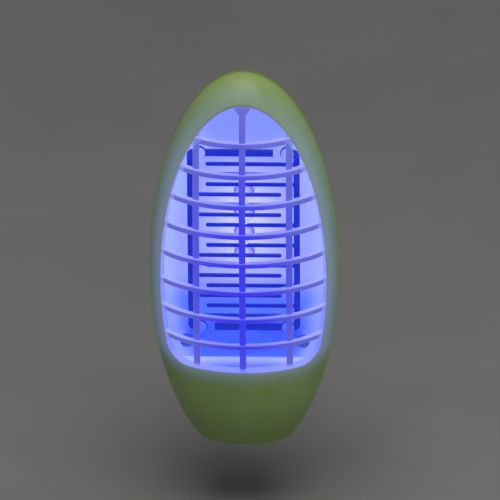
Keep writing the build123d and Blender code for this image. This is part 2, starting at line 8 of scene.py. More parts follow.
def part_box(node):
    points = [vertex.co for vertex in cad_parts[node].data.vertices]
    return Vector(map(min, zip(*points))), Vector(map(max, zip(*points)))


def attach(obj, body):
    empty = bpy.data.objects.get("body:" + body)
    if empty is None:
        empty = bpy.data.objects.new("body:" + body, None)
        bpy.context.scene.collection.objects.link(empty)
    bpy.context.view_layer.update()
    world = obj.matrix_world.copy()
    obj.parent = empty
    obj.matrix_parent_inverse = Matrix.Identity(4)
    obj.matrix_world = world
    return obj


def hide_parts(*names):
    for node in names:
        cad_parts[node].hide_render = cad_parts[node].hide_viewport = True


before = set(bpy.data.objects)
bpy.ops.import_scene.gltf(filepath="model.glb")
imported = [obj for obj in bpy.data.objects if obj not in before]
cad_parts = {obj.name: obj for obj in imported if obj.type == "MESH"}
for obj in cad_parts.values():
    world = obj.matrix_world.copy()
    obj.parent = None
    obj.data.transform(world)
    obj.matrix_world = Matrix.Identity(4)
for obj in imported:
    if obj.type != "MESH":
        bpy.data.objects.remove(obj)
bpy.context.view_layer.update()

# Looks of the plug-in bug zapper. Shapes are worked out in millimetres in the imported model's own frame:
# +Y into the wall, the grille looking along -Y, +Z up. Depths are forward of the parting plane of the
# two covers, and heights and widths are from the middle of the body.
MM = 0.001


def node_box(node):
    """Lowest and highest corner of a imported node, in millimetres."""
    low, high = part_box(node)
    return low / MM, high / MM


# ---- Driving dimensions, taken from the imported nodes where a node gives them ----
COVER_LOW, COVER_HIGH = node_box("front_cover")
COMB_LOW, COMB_HIGH = node_box("electrode_left")
TRAY_LOW, TRAY_HIGH = node_box("collection_tray")
PANEL_LOW = node_box("reflector_panel")[0]
HALF_WIDTH = (COVER_HIGH.x - COVER_LOW.x) / 2
HALF_HEIGHT = 63.0
PARTING_Y = COVER_HIGH.y
BODY_Z = COVER_HIGH.z - HALF_HEIGHT
FLAT_BELOW = BODY_Z - COVER_LOW.z
FRONT_NOSE = 20.0
REAR_NOSE = 22.0
FLAT_BEHIND = 16.0
WALL = 2.0
REAR_WALL = 1.8
FLOOR = 1.8

OPENING_HALF_WIDTH = 24.4
OPENING_HALF_HEIGHT = 56.1
LIP_BELOW = 26.2
LIP_CORNER = 7.0
BAR_PITCH = 9.0
BAR_COUNT = 8
TOP_BAR_Z = 45.5
BAR_HEIGHT = 1.5
BAR_THICK = 2.0
BAR_ROOT = 0.7
UPRIGHT_WIDTH = 1.9
UPRIGHT_SPACING = 13.65

COMB_Z = (COMB_HIGH.z + COMB_LOW.z) / 2 - BODY_Z
COMB_BACK = PARTING_Y - COMB_HIGH.y
COMB_THICK = COMB_HIGH.y - COMB_LOW.y
TOOTH_PITCH = 3.3
SPINE_X = 15.6
EYELET_X = 12.9
END_BAR_FROM_MIDDLE = 28.4
LAMP_NODES = ["led_1", "led_2", "led_3", "led_4"]
PANEL_THICK = 1.6
PANEL_FOOT = BODY_Z - PANEL_LOW.z
TRAY_WIDTH = TRAY_HIGH.x - TRAY_LOW.x
TRAY_DEPTH = TRAY_HIGH.y - TRAY_LOW.y
TRAY_CORNER = 5.0
TRAY_GAP = 0.3


def place(x, depth, z):
    """A point given by width, forward depth and height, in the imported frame."""
    return Vector((x, PARTING_Y - depth, BODY_Z + z))


# ---- Mesh helpers ----
def new_piece(name, points, faces, body, slot, replaced=(), crease=35.0):
    """A piece from points in millimetres, welded, facing outwards, smooth but for its sharp edges."""
    shape = bmesh.new()
    verts = [shape.verts.new(Vector(p) * MM) for p in points]
    for face in faces:
        shape.faces.new([verts[i] for i in face])
    bmesh.ops.remove_doubles(shape, verts=shape.verts, dist=1e-7)
    bmesh.ops.dissolve_degenerate(shape, dist=1e-7, edges=shape.edges)
    bmesh.ops.recalc_face_normals(shape, faces=shape.faces)
    data = bpy.data.meshes.new(name)
    shape.to_mesh(data)
    shape.free()
    piece = bpy.data.objects.new(name, data)
    bpy.context.scene.collection.objects.link(piece)
    smooth(piece, crease)
    if body:
        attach(piece, body)
    if replaced:
        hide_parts(*replaced)
    return piece


def smooth(piece, crease):
    """Smooth shading, kept sharp where faces meet at more than the crease angle in degrees."""
    piece.data.shade_smooth()
    piece.data.set_sharp_from_angle(angle=math.radians(crease))


def skin(rays, closed_ray, closed_round=True):
    """Points and quads over a list of equally long rays, joined side by side."""
    count = len(rays[0])
    points = [p for ray in rays for p in ray]
    faces = []
    for i in range(len(rays) if closed_round else len(rays) - 1):
        here, there = i * count, (i + 1) % len(rays) * count
        for k in range(count if closed_ray else count - 1):
            after = (k + 1) % count
            faces.append([here + k, here + after, there + after, there + k])
    return points, faces


def loft(loops):
    """A closed skin over a row of equally long loops, capped at both ends."""
    points, faces = skin(loops, closed_ray=True, closed_round=False)
    last = len(points) - len(loops[0])
    return points, faces + [list(range(len(loops[0]))), list(range(last, len(points)))]


def steps(start, end, count):
    """Evenly spaced numbers from start to end, both included."""
    return [start + (end - start) * i / count for i in range(count + 1)]


def between(a, b, count):
    """Points strictly between two others."""
    return [Vector(a).lerp(Vector(b), i / (count + 1)) for i in range(1, count + 1)]


def rounded(before, corner, after, count=4):
    """Points round a corner, from one side of it to the other, both included."""
    before, corner, after = Vector(before), Vector(corner), Vector(after)
    return [before.lerp(corner, t).lerp(corner.lerp(after, t), t) for t in steps(0, 1, count)]


def lathe(profile, origin, axis, turns=48):
    """A solid of revolution: profile is (radius, distance along the axis) pairs, from axis to axis."""
    turn_to_axis = Vector((0, 0, 1)).rotation_difference(Vector(axis)).to_matrix()
    rays = []
    for i in range(turns):
        angle = 2 * math.pi * i / turns
        spoke = [Vector((r * math.cos(angle), r * math.sin(angle), h)) for r, h in profile]
        rays.append([Vector(origin) + turn_to_axis @ p for p in spoke])
    return skin(rays, closed_ray=False)


def offset_outline(outline, distance):
    """A closed outline moved inwards by the distance; it runs anticlockwise."""
    moved = []
    for i, (x, z) in enumerate(outline):
        back, ahead = outline[i - 1], outline[(i + 1) % len(outline)]
        first = Vector((x - back[0], z - back[1])).normalized()
        second = Vector((ahead[0] - x, ahead[1] - z)).normalized()
        normal = Vector((-first.y - second.y, first.x + second.x))
        normal *= 1 / max(1 + first.dot(second), 0.3)
        moved.append((x + normal.x * distance, z + normal.y * distance))
    return moved


def plate(outline, back, front, edge):
    """A flat plate between two depths with rounded edges, from an anticlockwise outline of (x, z)."""
    inner = offset_outline(outline, edge)
    middle = offset_outline(outline, edge * 0.3)
    loops = [(inner, back), (middle, back + edge * 0.3), (outline, back + edge)]
    loops += [(outline, front - edge), (middle, front - edge * 0.3), (inner, front)]
    points = [place(x, depth, z) for loop, depth in loops for x, z in loop]
    count = len(outline)
    faces = [list(range(count)), list(range(5 * count, 6 * count))]
    for row in range(5):
        for i in range(count):
            after = (i + 1) % count
            first, second = row * count, (row + 1) * count
            faces.append([first + i, first + after, second + after, second + i])
    return points, faces


def arc(centre, radius, start, end, count):
    """(x, z) points on a circle's arc, angles in degrees."""
    angles = [math.radians(a) for a in steps(start, end, count)]
    return [(centre[0] + radius * math.cos(a), centre[1] + radius * math.sin(a)) for a in angles]


def boolean(piece, tool, operation):
    """Cut or join one mesh with another, and drop the tool."""
    cut = piece.modifiers.new("cut", "BOOLEAN")
    cut.operation = operation
    cut.object = tool
    cut.solver = "MANIFOLD"
    bpy.context.view_layer.update()
    result = bpy.data.meshes.new_from_object(piece.evaluated_get(bpy.context.evaluated_depsgraph_get()))
    piece.modifiers.clear()
    piece.data = result
    bpy.data.objects.remove(tool)


# ---- The ellipsoid that the housing is cut from ----
def surface_depth(x, z, nose, inset=0.0):
    """Distance of the ellipsoid, moved in by the inset, from the parting plane at (x, z)."""
    level = 1 - (x / (HALF_WIDTH - inset)) ** 2 - (z / (HALF_HEIGHT - inset)) ** 2
    return (nose - inset) * math.sqrt(max(level, 0.0))


def meridian(x, z, nose, inset, floor, rows, gap=0.0):
    """(x, depth, z) points over the ellipsoid from (x, z) to the parting plane or down to the floor.

    The first point stands the gap, in millimetres, away from (x, z) along the surface.
    """
    half_width, half_height = HALF_WIDTH - inset, HALF_HEIGHT - inset
    reach = math.hypot(x / half_width, z / half_height)
    cosine, sine = x / half_width / reach, z / half_height / reach
    end = math.pi / 2
    if sine < 0 and -sine * half_height > floor + 1e-6:
        end = math.asin(floor / (-sine * half_height))

    def point(angle):
        across = math.sin(angle)
        reach = (nose - inset) * math.cos(angle)
        return Vector((half_width * across * cosine, reach, half_height * across * sine))

    start = math.asin(min(reach, 1.0))
    pace = (point(start + 1e-4) - point(start)).length / 1e-4
    start += gap / pace
    return [point(a) for a in steps(start, end, rows)]


def rounded_box_edge(direction, width, depth, corner):
    """Where a ray from the middle meets the outline of a rectangle with rounded corners."""
    low, high = 0.0, width
    for _ in range(40):
        reach = (low + high) / 2
        over_x = max(abs(direction[0]) * reach - width / 2 + corner, 0)
        over_y = max(abs(direction[1]) * reach - depth / 2 + corner, 0)
        if math.hypot(over_x, over_y) > corner:
            high = reach
        else:
            low = reach
    return direction[0] * low, direction[1] * low


def floor_end(outer_end, inner_end, width, depth):
    """The flat bottom's ray: over the floor, down the wall of the tray's hole and back out below."""
    length = math.hypot(outer_end.x, outer_end.y)
    direction = (outer_end.x / length, outer_end.y / length)
    hole = rounded_box_edge(direction, width, depth, TRAY_CORNER + TRAY_GAP)
    top = Vector((hole[0], hole[1], inner_end.z))
    foot = Vector((hole[0], hole[1], outer_end.z))
    return between(inner_end, top, 2) + [top, foot] + between(foot, outer_end, 2)


def shell_parts(outer_from, inner_from, nose, wall, gap, seam):
    """The outer surface with its rim rounding, the inner surface and the rim or floor between them."""
    outer = meridian(*outer_from, nose, 0.0, FLAT_BELOW, SHELL_ROWS, gap=gap)[::-1]
    inner = meridian(*inner_from, nose, wall, FLAT_BELOW - FLOOR, SHELL_ROWS)
    if outer[0].z < -FLAT_BELOW + 1e-4:
        tail = floor_end(outer[0], inner[-1], TRAY_WIDTH + 2 * TRAY_GAP, TRAY_DEPTH + 2 * TRAY_GAP)
        inward = (tail[-1] - outer[0]).normalized() * FOOT_ROUNDING
    else:
        tail = between(inner[-1], outer[0], 6)
        inward = (inner[-1] - outer[0]).normalized() * seam
    along = (outer[1] - outer[0]).normalized() * inward.length
    rim = rounded(outer[0] + inward, outer[0], outer[0] + along)
    return rim + outer[1:], inner, tail


def shell_piece(rays, side, closed):
    """Points and faces of half a housing; side is 1 forward of the parting plane and -1 behind it."""
    placed = [[place(p.x, side * p.y, p.z) for p in ray] for ray in rays]
    return skin(placed, closed_ray=closed)


SHELL_ROWS = 24
FOOT_ROUNDING = 1.1
SEAM_ROUNDING = 0.3
OPENING_ROUNDING = 0.8
OPENING_DRAFT = 1.0         # how far the opening's wall leans in at its foot
BACK_ROUNDING = 1.2


# ---- The opening's outline, an ellipse cut off by a straight lip with rounded corners ----
def ellipse_point(degrees):
    """(x, z) on the opening's ellipse."""
    angle = math.radians(degrees)
    return Vector((OPENING_HALF_WIDTH * math.cos(angle), OPENING_HALF_HEIGHT * math.sin(angle)))


def lip_corner():
    """The centre of the right-hand corner's arc, and the ellipse angle that it meets."""
    low, high = 0.0, OPENING_HALF_WIDTH
    for _ in range(40):
        centre = Vector(((low + high) / 2, LIP_CORNER - LIP_BELOW))
        nearest = min(steps(-40, 10, 500), key=lambda a: (ellipse_point(a) - centre).length)
        if (ellipse_point(nearest) - centre).length > LIP_CORNER:
            low = centre.x
        else:
            high = centre.x
    return centre, nearest


def opening_outline():
    """The opening's (x, z) points, anticlockwise from the middle of the lip."""
    centre, meets = lip_corner()
    touch = ellipse_point(meets) - centre
    turn = math.degrees(math.atan2(touch.y, touch.x))
    foot_ray = math.asin(FLAT_BELOW / HALF_HEIGHT)
    lip_end = math.atan2(LIP_BELOW / HALF_HEIGHT, centre.x / HALF_WIDTH)
    angles = steps(math.pi / 2, foot_ray, 22) + steps(foot_ray, lip_end, 14)[1:-1]
    right = [(HALF_WIDTH * LIP_BELOW / HALF_HEIGHT / math.tan(a), -LIP_BELOW) for a in angles]
    right += arc(centre, LIP_CORNER, -90, turn, 12)
    right += [tuple(ellipse_point(a)) for a in steps(meets, 90, 84)[1:]]
    return right + [(-x, z) for x, z in right[-2:0:-1]]


def front_shell():
    """The front cover round its opening, without the bars."""
    rays = []
    for x, z in opening_outline():
        outer, inner, tail = shell_parts((x, z), (x, z), FRONT_NOSE, WALL, OPENING_ROUNDING, SEAM_ROUNDING)
        corner = Vector((x, surface_depth(x, z, FRONT_NOSE), z))
        foot = inner[0] + Vector((-x, 0, -z)).normalized() * OPENING_DRAFT
        edge = rounded(outer[-1], corner, corner + (foot - corner).normalized() * OPENING_ROUNDING)
        rays.append(outer + edge[1:] + between(edge[-1], foot, 3) + [foot] + inner + tail)
    return shell_piece(rays, 1, closed=True)


# ---- Bars of the grille ----
def bar(stations, half, outer_inset, along_x):
    """A bar that follows the front; stations run along it, and half is half its width across."""
    rays = []
    for along, fixed in stations:
        def at(offset, inset):
            x, z = (along, fixed + offset) if along_x else (fixed + offset, along)
            return Vector((x, surface_depth(x, z, FRONT_NOSE, inset), z))

        corners = [at(-half, outer_inset), at(half, outer_inset)]
        corners += [at(half, outer_inset + BAR_THICK), at(-half, outer_inset + BAR_THICK)]
        ring = []
        for i, corner in enumerate(corners):
            before = (corners[i - 1] - corner).normalized() * BAR_ROUNDING
            after = (corners[(i + 1) % 4] - corner).normalized() * BAR_ROUNDING
            ring += rounded(corner + before, corner, corner + after, 3)
        rays.append([place(p.x, p.y, p.z) for p in ring])
    return loft(rays)


BAR_ROUNDING = 0.4
BAR_INSET = 0.1
SIDE_UPRIGHT_INSET = 1.1
CENTRE_UPRIGHT_INSET = 0.4


def level_bar(z):
    """One level bar from side to side of the opening."""
    reach = OPENING_HALF_WIDTH * math.sqrt(1 - (z / OPENING_HALF_HEIGHT) ** 2) + BAR_ROOT
    return bar([(x, z) for x in steps(-reach, reach, 64)], BAR_HEIGHT / 2, BAR_INSET, along_x=True)


def upright_bar(x):
    """One upright bar from the lip to the top of the opening."""
    nearest = max(abs(x) - UPRIGHT_WIDTH / 2, 0)
    top = OPENING_HALF_HEIGHT * math.sqrt(1 - (nearest / OPENING_HALF_WIDTH) ** 2) + BAR_ROOT
    inset = SIDE_UPRIGHT_INSET if x else CENTRE_UPRIGHT_INSET
    stations = [(z, x) for z in steps(-LIP_BELOW - BAR_ROOT, top, 72)]
    return bar(stations, UPRIGHT_WIDTH / 2, inset, along_x=False)


def peg(x, z, radius, start, end_at, side=1, hole=0.0, hole_end=0.0, rounding=0.4):
    """A round post from a plain end at the start depth to an end that follows a surface."""
    rays = []
    for i in range(PEG_TURNS):
        angle = 2 * math.pi * i / PEG_TURNS
        across, up = math.cos(angle), math.sin(angle)

        def at(reach, depth=None):
            px, pz = x + reach * across, z + reach * up
            return Vector((px, end_at(px, pz) if depth is None else depth, pz))

        edge = at(radius)
        ray = [at(0)] + [at(radius * part) for part in (0.3, 0.6)]
        ray += rounded(at(radius - rounding), edge, edge - Vector((0, rounding, 0)), 3)
        ray += [at(radius, start)]
        if hole:
            ray += [at(hole, start), at(hole, hole_end), at(0, hole_end)]
        else:
            ray += [at(0, start)]
        rays.append([place(p.x, side * p.y, p.z) for p in ray])
    return skin(rays, closed_ray=False)


PEG_TURNS = 40
POST_RADIUS = 2.4
POST_INSET = 0.4
PILOT_RADIUS = 0.9
PILOT_DEPTH = 5.5
HOUSING_SCREWS = [(0, OPENING_HALF_HEIGHT), (16.2, -44.0), (-16.2, -44.0)]


def front_end(x, z):
    """How far forward the posts of the front cover reach."""
    return surface_depth(x, z, FRONT_NOSE, POST_INSET)


def rear_end(x, z):
    """How far back the posts of the rear cover reach."""
    return min(surface_depth(x, z, REAR_NOSE, POST_INSET), FLAT_BEHIND - POST_INSET)


def tool(shape):
    """A closed mesh, to cut or join with."""
    return new_piece("tool", *shape, None, None)


front_cover = new_piece("front_cover_shell", *front_shell(), "housing", "housing_plastic", ["front_cover"])
BARS = [level_bar(TOP_BAR_Z - BAR_PITCH * i) for i in range(BAR_COUNT)]
UPRIGHTS = [upright_bar(x) for x in (0, -UPRIGHT_SPACING, UPRIGHT_SPACING)]
for shape in BARS + UPRIGHTS:
    boolean(front_cover, tool(shape), "UNION")
for x, z in HOUSING_SCREWS:
    post = peg(x, z, POST_RADIUS, 0.0, front_end, hole=PILOT_RADIUS, hole_end=PILOT_DEPTH)
    boolean(front_cover, tool(post), "UNION")
smooth(front_cover, 32)


# ---- Rear cover with its plug block ----
PLUG_Z = -BODY_Z
PLUG_DEPTH = -PARTING_Y
PLUG_HALF_WIDTH = 17.65
PLUG_HALF_HEIGHT = 6.85
PLUG_FLAT_HALF = 11.0
PLUG_FILLET = 1.6
PLUG_WALL = 2.0
PLUG_FACE_THICK = 3.0
PIN_X = 9.3
PIN_RADIUS = 2.0
PIN_LENGTH = 19.0
PIN_CORE = 1.5
SLEEVE_RADIUS = 1.8
SLEEVE_LENGTH = 10.0
TUBE_RADIUS = 3.4
SCREW_SEAT = 3.0
COUNTERBORE = 2.4
CLEAR_RADIUS = 1.2
BOARD_SCREW_X = 13.5
BOARD_SCREW_DZ = 24.5
BOARD_POSTS = [
    (x, COMB_Z + dz)
    for x in (-BOARD_SCREW_X, BOARD_SCREW_X)
    for dz in (-BOARD_SCREW_DZ, BOARD_SCREW_DZ)
]
BOARD_POST_START = 7.2
BOARD_PILOT_END = BOARD_POST_START + 5
PANEL_PILOT_END = PANEL_THICK + 6
PANEL_SCREWS = [(-17.0, -23.7), (17.0, -23.7)]


def fillet_polygon(corners, radius, count=6):
    """A polygon's (x, z) points with its corners rounded."""
    outline = []
    for i, corner in enumerate(corners):
        corner = Vector(corner)
        back = (Vector(corners[i - 1]) - corner).normalized()
        ahead = (Vector(corners[(i + 1) % len(corners)]) - corner).normalized()
        reach = radius / math.tan(back.angle(ahead) / 2)
        outline += rounded(corner + back * reach, corner, corner + ahead * reach, count)
    return [tuple(p) for p in outline]


def rear_shell():
    """The rear cover's shell, closed by its flat back."""
    level = math.sqrt(1 - (FLAT_BEHIND / REAR_NOSE) ** 2)
    inner_level = math.sqrt(1 - ((FLAT_BEHIND - REAR_WALL) / (REAR_NOSE - REAR_WALL)) ** 2)
    foot = -math.asin(FLAT_BELOW / HALF_HEIGHT)
    right = steps(-math.pi / 2, foot, 20) + steps(foot, math.pi / 2, 100)[1:]
    angles = right + [math.pi - a for a in right[-2:0:-1]]
    rays = []
    for a in angles:
        across, up = math.cos(a), math.sin(a)
        outer_from = (HALF_WIDTH * level * across, HALF_HEIGHT * level * up)
        inner_from = (
            (HALF_WIDTH - REAR_WALL) * inner_level * across,
            (HALF_HEIGHT - REAR_WALL) * inner_level * up,
        )
        outer, inner, tail = shell_parts(
            outer_from, inner_from, REAR_NOSE, REAR_WALL, BACK_ROUNDING, SEAM_ROUNDING
        )
        corner = Vector((outer_from[0], FLAT_BEHIND, outer_from[1]))
        centre = Vector((0, FLAT_BEHIND, PLUG_Z))
        inner_centre = Vector((0, FLAT_BEHIND - REAR_WALL, PLUG_Z))
        edge = rounded(outer[-1], corner, corner + (centre - corner).normalized() * BACK_ROUNDING)
        back = edge[1:] + between(edge[-1], centre, 4) + [centre]
        rays.append([inner_centre] + between(inner_centre, inner[0], 4) + inner + tail + outer + back)
    return shell_piece(rays, -1, closed=False)


def plug_outline():
    """The plug's flattened hexagon, about its own axis."""
    right = [(PLUG_FLAT_HALF, -PLUG_HALF_HEIGHT), (PLUG_HALF_WIDTH, 0), (PLUG_FLAT_HALF, PLUG_HALF_HEIGHT)]
    corners = right + [(-x, -z) for x, z in right]
    return [(x, z + PLUG_Z) for x, z in fillet_polygon(corners, PLUG_FILLET)]


def bore(x, z, radius, start, end):
    """A round cutter along the depth."""
    low, high = min(start, end), max(start, end)
    profile = [(0, 0), (radius, 0), (radius, high - low), (0, high - low)]
    return lathe(profile, place(x, low, z), (0, -1, 0), PEG_TURNS)


rear_cover = new_piece("rear_cover_shell", *rear_shell(), "housing", "housing_plastic", ["rear_cover"])
for x, z in HOUSING_SCREWS:
    boolean(rear_cover, tool(peg(x, z, TUBE_RADIUS, 0.0, rear_end, side=-1)), "UNION")
for x, z in BOARD_POSTS:
    post = peg(x, z, POST_RADIUS, BOARD_POST_START, rear_end, -1, PILOT_RADIUS, BOARD_PILOT_END)
    boolean(rear_cover, tool(post), "UNION")
for x, z in PANEL_SCREWS:
    post = peg(x, z, POST_RADIUS, PANEL_THICK, rear_end, -1, PILOT_RADIUS, PANEL_PILOT_END)
    boolean(rear_cover, tool(post), "UNION")
PLUG_BLOCK = plate(plug_outline(), -PLUG_DEPTH, -FLAT_BEHIND + REAR_WALL, 0.7)
boolean(rear_cover, tool(PLUG_BLOCK), "UNION")
hollow = offset_outline(plug_outline(), PLUG_WALL)
PLUG_HOLLOW = plate(hollow, -PLUG_DEPTH + PLUG_FACE_THICK, -FLAT_BEHIND + 2 * REAR_WALL, 0.2)
boolean(rear_cover, tool(PLUG_HOLLOW), "DIFFERENCE")
for x in (-PIN_X, PIN_X):
    pin_hole = bore(x, PLUG_Z, SLEEVE_RADIUS, -PLUG_DEPTH - 1, -PLUG_DEPTH + PLUG_FACE_THICK + 1)
    boolean(rear_cover, tool(pin_hole), "DIFFERENCE")
for x, z in HOUSING_SCREWS:
    boolean(rear_cover, tool(bore(x, z, COUNTERBORE, -SCREW_SEAT, -REAR_NOSE)), "DIFFERENCE")
    boolean(rear_cover, tool(bore(x, z, CLEAR_RADIUS, 1, -SCREW_SEAT - 1)), "DIFFERENCE")
smooth(rear_cover, 32)


# ---- Plug pins and sleeves ----
TAIL_RADIUS = 1.2
TAIL_END = -10.0
FLANGE_RADIUS = 3.0
FLANGE_BACK = -4.5


def turned(name, profile, x, slot, node, crease=35):
    """A part turned about the axis of a pin; heights run into the wall from the plug's face."""
    shape = lathe(profile, Vector((x, 0, 0)), (0, 1, 0), 56)
    return new_piece(name, *shape, "housing", slot, [node], crease)


def pin_profile():
    """Tail, flange, core and bare rounded tip of a pin."""
    tip = [
        (PIN_RADIUS * math.cos(a), PIN_LENGTH - PIN_RADIUS * (1 - math.sin(a)))
        for a in steps(0, math.pi / 2, 12)
    ]
    softened = TAIL_RADIUS - 0.2
    tail = [(0, TAIL_END), (softened, TAIL_END), (TAIL_RADIUS, TAIL_END + 0.2), (TAIL_RADIUS, FLANGE_BACK)]
    flange = [
        (FLANGE_RADIUS - 0.1, FLANGE_BACK),
        (FLANGE_RADIUS, FLANGE_BACK + 0.1),
        (FLANGE_RADIUS, -PLUG_FACE_THICK - 0.1),
        (FLANGE_RADIUS - 0.1, -PLUG_FACE_THICK),
    ]
    shoulder = [
        (PIN_CORE, -PLUG_FACE_THICK),
        (PIN_CORE, SLEEVE_LENGTH),
        (PIN_RADIUS - 0.15, SLEEVE_LENGTH),
        (PIN_RADIUS, SLEEVE_LENGTH + 0.15),
    ]
    return tail + flange + shoulder + tip[:-1] + [(0, PIN_LENGTH)]


def sleeve_profile():
    """A tube round the pin's core, with a softened end."""
    end = SLEEVE_LENGTH
    root = [(PIN_CORE, -PLUG_FACE_THICK), (SLEEVE_RADIUS, -PLUG_FACE_THICK)]
    return root + [(SLEEVE_RADIUS, end - 0.15), (SLEEVE_RADIUS - 0.12, end), (PIN_CORE, end)]


for x, side in ((-PIN_X, "left"), (PIN_X, "right")):
    turned(f"pin_{side}", pin_profile(), x, "pin_nickel", f"plug_pin_{side}")
    ring = sleeve_profile()
    turned(f"sleeve_{side}", ring + ring[:1], x, "sleeve_plastic", f"pin_sleeve_{side}")


# ---- Collection tray ----
def round_rectangle(width, depth, corner, height):
    """Points of a level rounded rectangle at a height from the middle of the body."""
    half, deep = width / 2, depth / 2
    outline = []
    for i, (x, y) in enumerate(((half, -deep), (half, deep), (-half, deep), (-half, -deep))):
        centre = (x - math.copysign(corner, x), y - math.copysign(corner, y))
        outline += arc(centre, corner, 90 * i - 90, 90 * i, 12)
    return [place(x, -y, height) for x, y in outline]


TRAY_FOOT = TRAY_LOW.z - BODY_Z
TRAY_RIM = TRAY_HIGH.z - BODY_Z
TRAY_WALL = 1.1
TRAY_BASE = 4.0


def tray_shape():
    """The tray, from the middle of its foot up its outside and down its inside."""
    def loop(inset, height):
        corner = max(TRAY_CORNER - inset, 0.6)
        return round_rectangle(TRAY_WIDTH - 2 * inset, TRAY_DEPTH - 2 * inset, corner, height)

    floor = TRAY_FOOT + TRAY_BASE
    outside = [(1.0, 0.0), (0.45, 0.13), (0.13, 0.45), (0.0, 1.0)]
    loops = [loop(inset, TRAY_FOOT + rise) for inset, rise in outside]
    loops += [loop(0, z) for z in steps(TRAY_FOOT + 1, TRAY_RIM - 0.3, 6)[1:]]
    loops += [loop(0.1, TRAY_RIM - 0.08), loop(0.3, TRAY_RIM)]
    loops += [loop(TRAY_WALL - 0.3, TRAY_RIM), loop(TRAY_WALL - 0.1, TRAY_RIM - 0.08)]
    loops += [loop(TRAY_WALL, z) for z in steps(TRAY_RIM - 0.3, floor + 1, 4)]
    loops += [loop(TRAY_WALL + 0.3, floor + 0.3), loop(TRAY_WALL + 1, floor)]
    return loft(loops)


tray = new_piece("tray_cup", *tray_shape(), "tray", "housing_plastic", ["collection_tray"])
POCKET_SIDE = 4.0           # rim left beside the finger pockets
POCKET_FRONT = 2.0          # and ahead of and behind them
PULL_RIB = 2.0              # between them
POCKET_WIDTH = (TRAY_WIDTH - 2 * POCKET_SIDE - PULL_RIB) / 2
POCKET_DEPTH = TRAY_DEPTH - 2 * POCKET_FRONT
POCKET_CORNER = 1.8
for side in (-1, 1):
    pocket_x = side * (PULL_RIB + POCKET_WIDTH) / 2
    loops = []
    for inset, rise in ((-0.4, -0.2), (0.0, 0.4), (0.0, 2.4), (0.2, 2.8), (0.6, 2.9)):
        size = (POCKET_WIDTH - 2 * inset, POCKET_DEPTH - 2 * inset)
        loops.append(round_rectangle(*size, POCKET_CORNER - inset, TRAY_FOOT + rise))
    shifted = [[p + Vector((pocket_x, 0, 0)) for p in loop] for loop in loops]
    boolean(tray, tool(loft(shifted)), "DIFFERENCE")
smooth(tray, 40)


# ---- The two combs ----
SPINE_HALF = 0.9
END_BAR_HALF = 1.1
END_BAR_REACH = 8.75
EYELET_RADIUS = 2.1
INNER_TEETH = 16            # rows between the end bars, left and right rooted by turns
TOOTH_HALF = 0.55
TOOTH_REACH = 11.1
CORNER = 2.0


def comb_outline(turn):
    """A comb's (x, z) points, anticlockwise; turn is 1 for the left comb and -1 for the right."""
    low, high = -END_BAR_FROM_MIDDLE - END_BAR_HALF, END_BAR_FROM_MIDDLE + END_BAR_HALF
    left, right = -SPINE_X - SPINE_HALF, -SPINE_X + SPINE_HALF
    bulge = math.degrees(math.asin(END_BAR_HALF / EYELET_RADIUS))
    points = arc((left + CORNER, low + CORNER), CORNER, 180, 270, 8)
    points += arc((-EYELET_X, -END_BAR_FROM_MIDDLE), EYELET_RADIUS, bulge - 180, 180 - bulge, 28)
    for row in range(INNER_TEETH - 1, 0, -2):
        z = ((INNER_TEETH - 1) / 2 - row) * TOOTH_PITCH
        points += [(right, z - TOOTH_HALF)] + arc((TOOTH_REACH - TOOTH_HALF, z), TOOTH_HALF, -90, 90, 8)
        points += [(right, z + TOOTH_HALF)]
    points += arc((-EYELET_X, END_BAR_FROM_MIDDLE), EYELET_RADIUS, bulge - 180, -bulge, 12)
    points += [(END_BAR_REACH, END_BAR_FROM_MIDDLE - END_BAR_HALF), (END_BAR_REACH, high)]
    points += arc((-EYELET_X, END_BAR_FROM_MIDDLE), EYELET_RADIUS, bulge, 180 - bulge, 12)
    points += arc((left + CORNER, high - CORNER), CORNER, 90, 180, 8)
    return [(turn * x, turn * z + COMB_Z) for x, z in points]


for turn, side in ((1, "left"), (-1, "right")):
    comb = plate(comb_outline(turn), COMB_BACK, COMB_BACK + COMB_THICK, 0.14)
    new_piece(f"comb_{side}", *comb, "housing", "comb_steel", [f"electrode_{side}"], 50)


# ---- White panel: lamp holes, screw bosses and the combs' stakes ----
PANEL_HALF_WIDTH = 25.4
PANEL_HALF_HEIGHT = 60.2
LAMP_HOLE = 3.1
BOSS_RADIUS = 2.6
BOSS_HEIGHT = 1.5
SUNK = 0.5                  # bosses and stakes start this deep in the panel
LEAD_Z = -0.55
LEAD_HOLES = [(-SPINE_X, LEAD_Z), (SPINE_X, 2 * COMB_Z - LEAD_Z)]
STAKE_RADIUS = 1.2
STAKE_HEAD = 1.8
LAMP_HEIGHTS = [(sum(node_box(node), Vector()) / 2).z - BODY_Z for node in LAMP_NODES]


def panel_outline():
    """The panel's (x, z) points: an ellipse with a straight foot."""
    foot = -math.degrees(math.asin(PANEL_FOOT / PANEL_HALF_HEIGHT))
    turns = [math.radians(a) for a in steps(foot, 90, 72)]
    right = [(PANEL_HALF_WIDTH * math.cos(a), PANEL_HALF_HEIGHT * math.sin(a)) for a in turns]
    return right + [(-x, z) for x, z in right[-2::-1]]


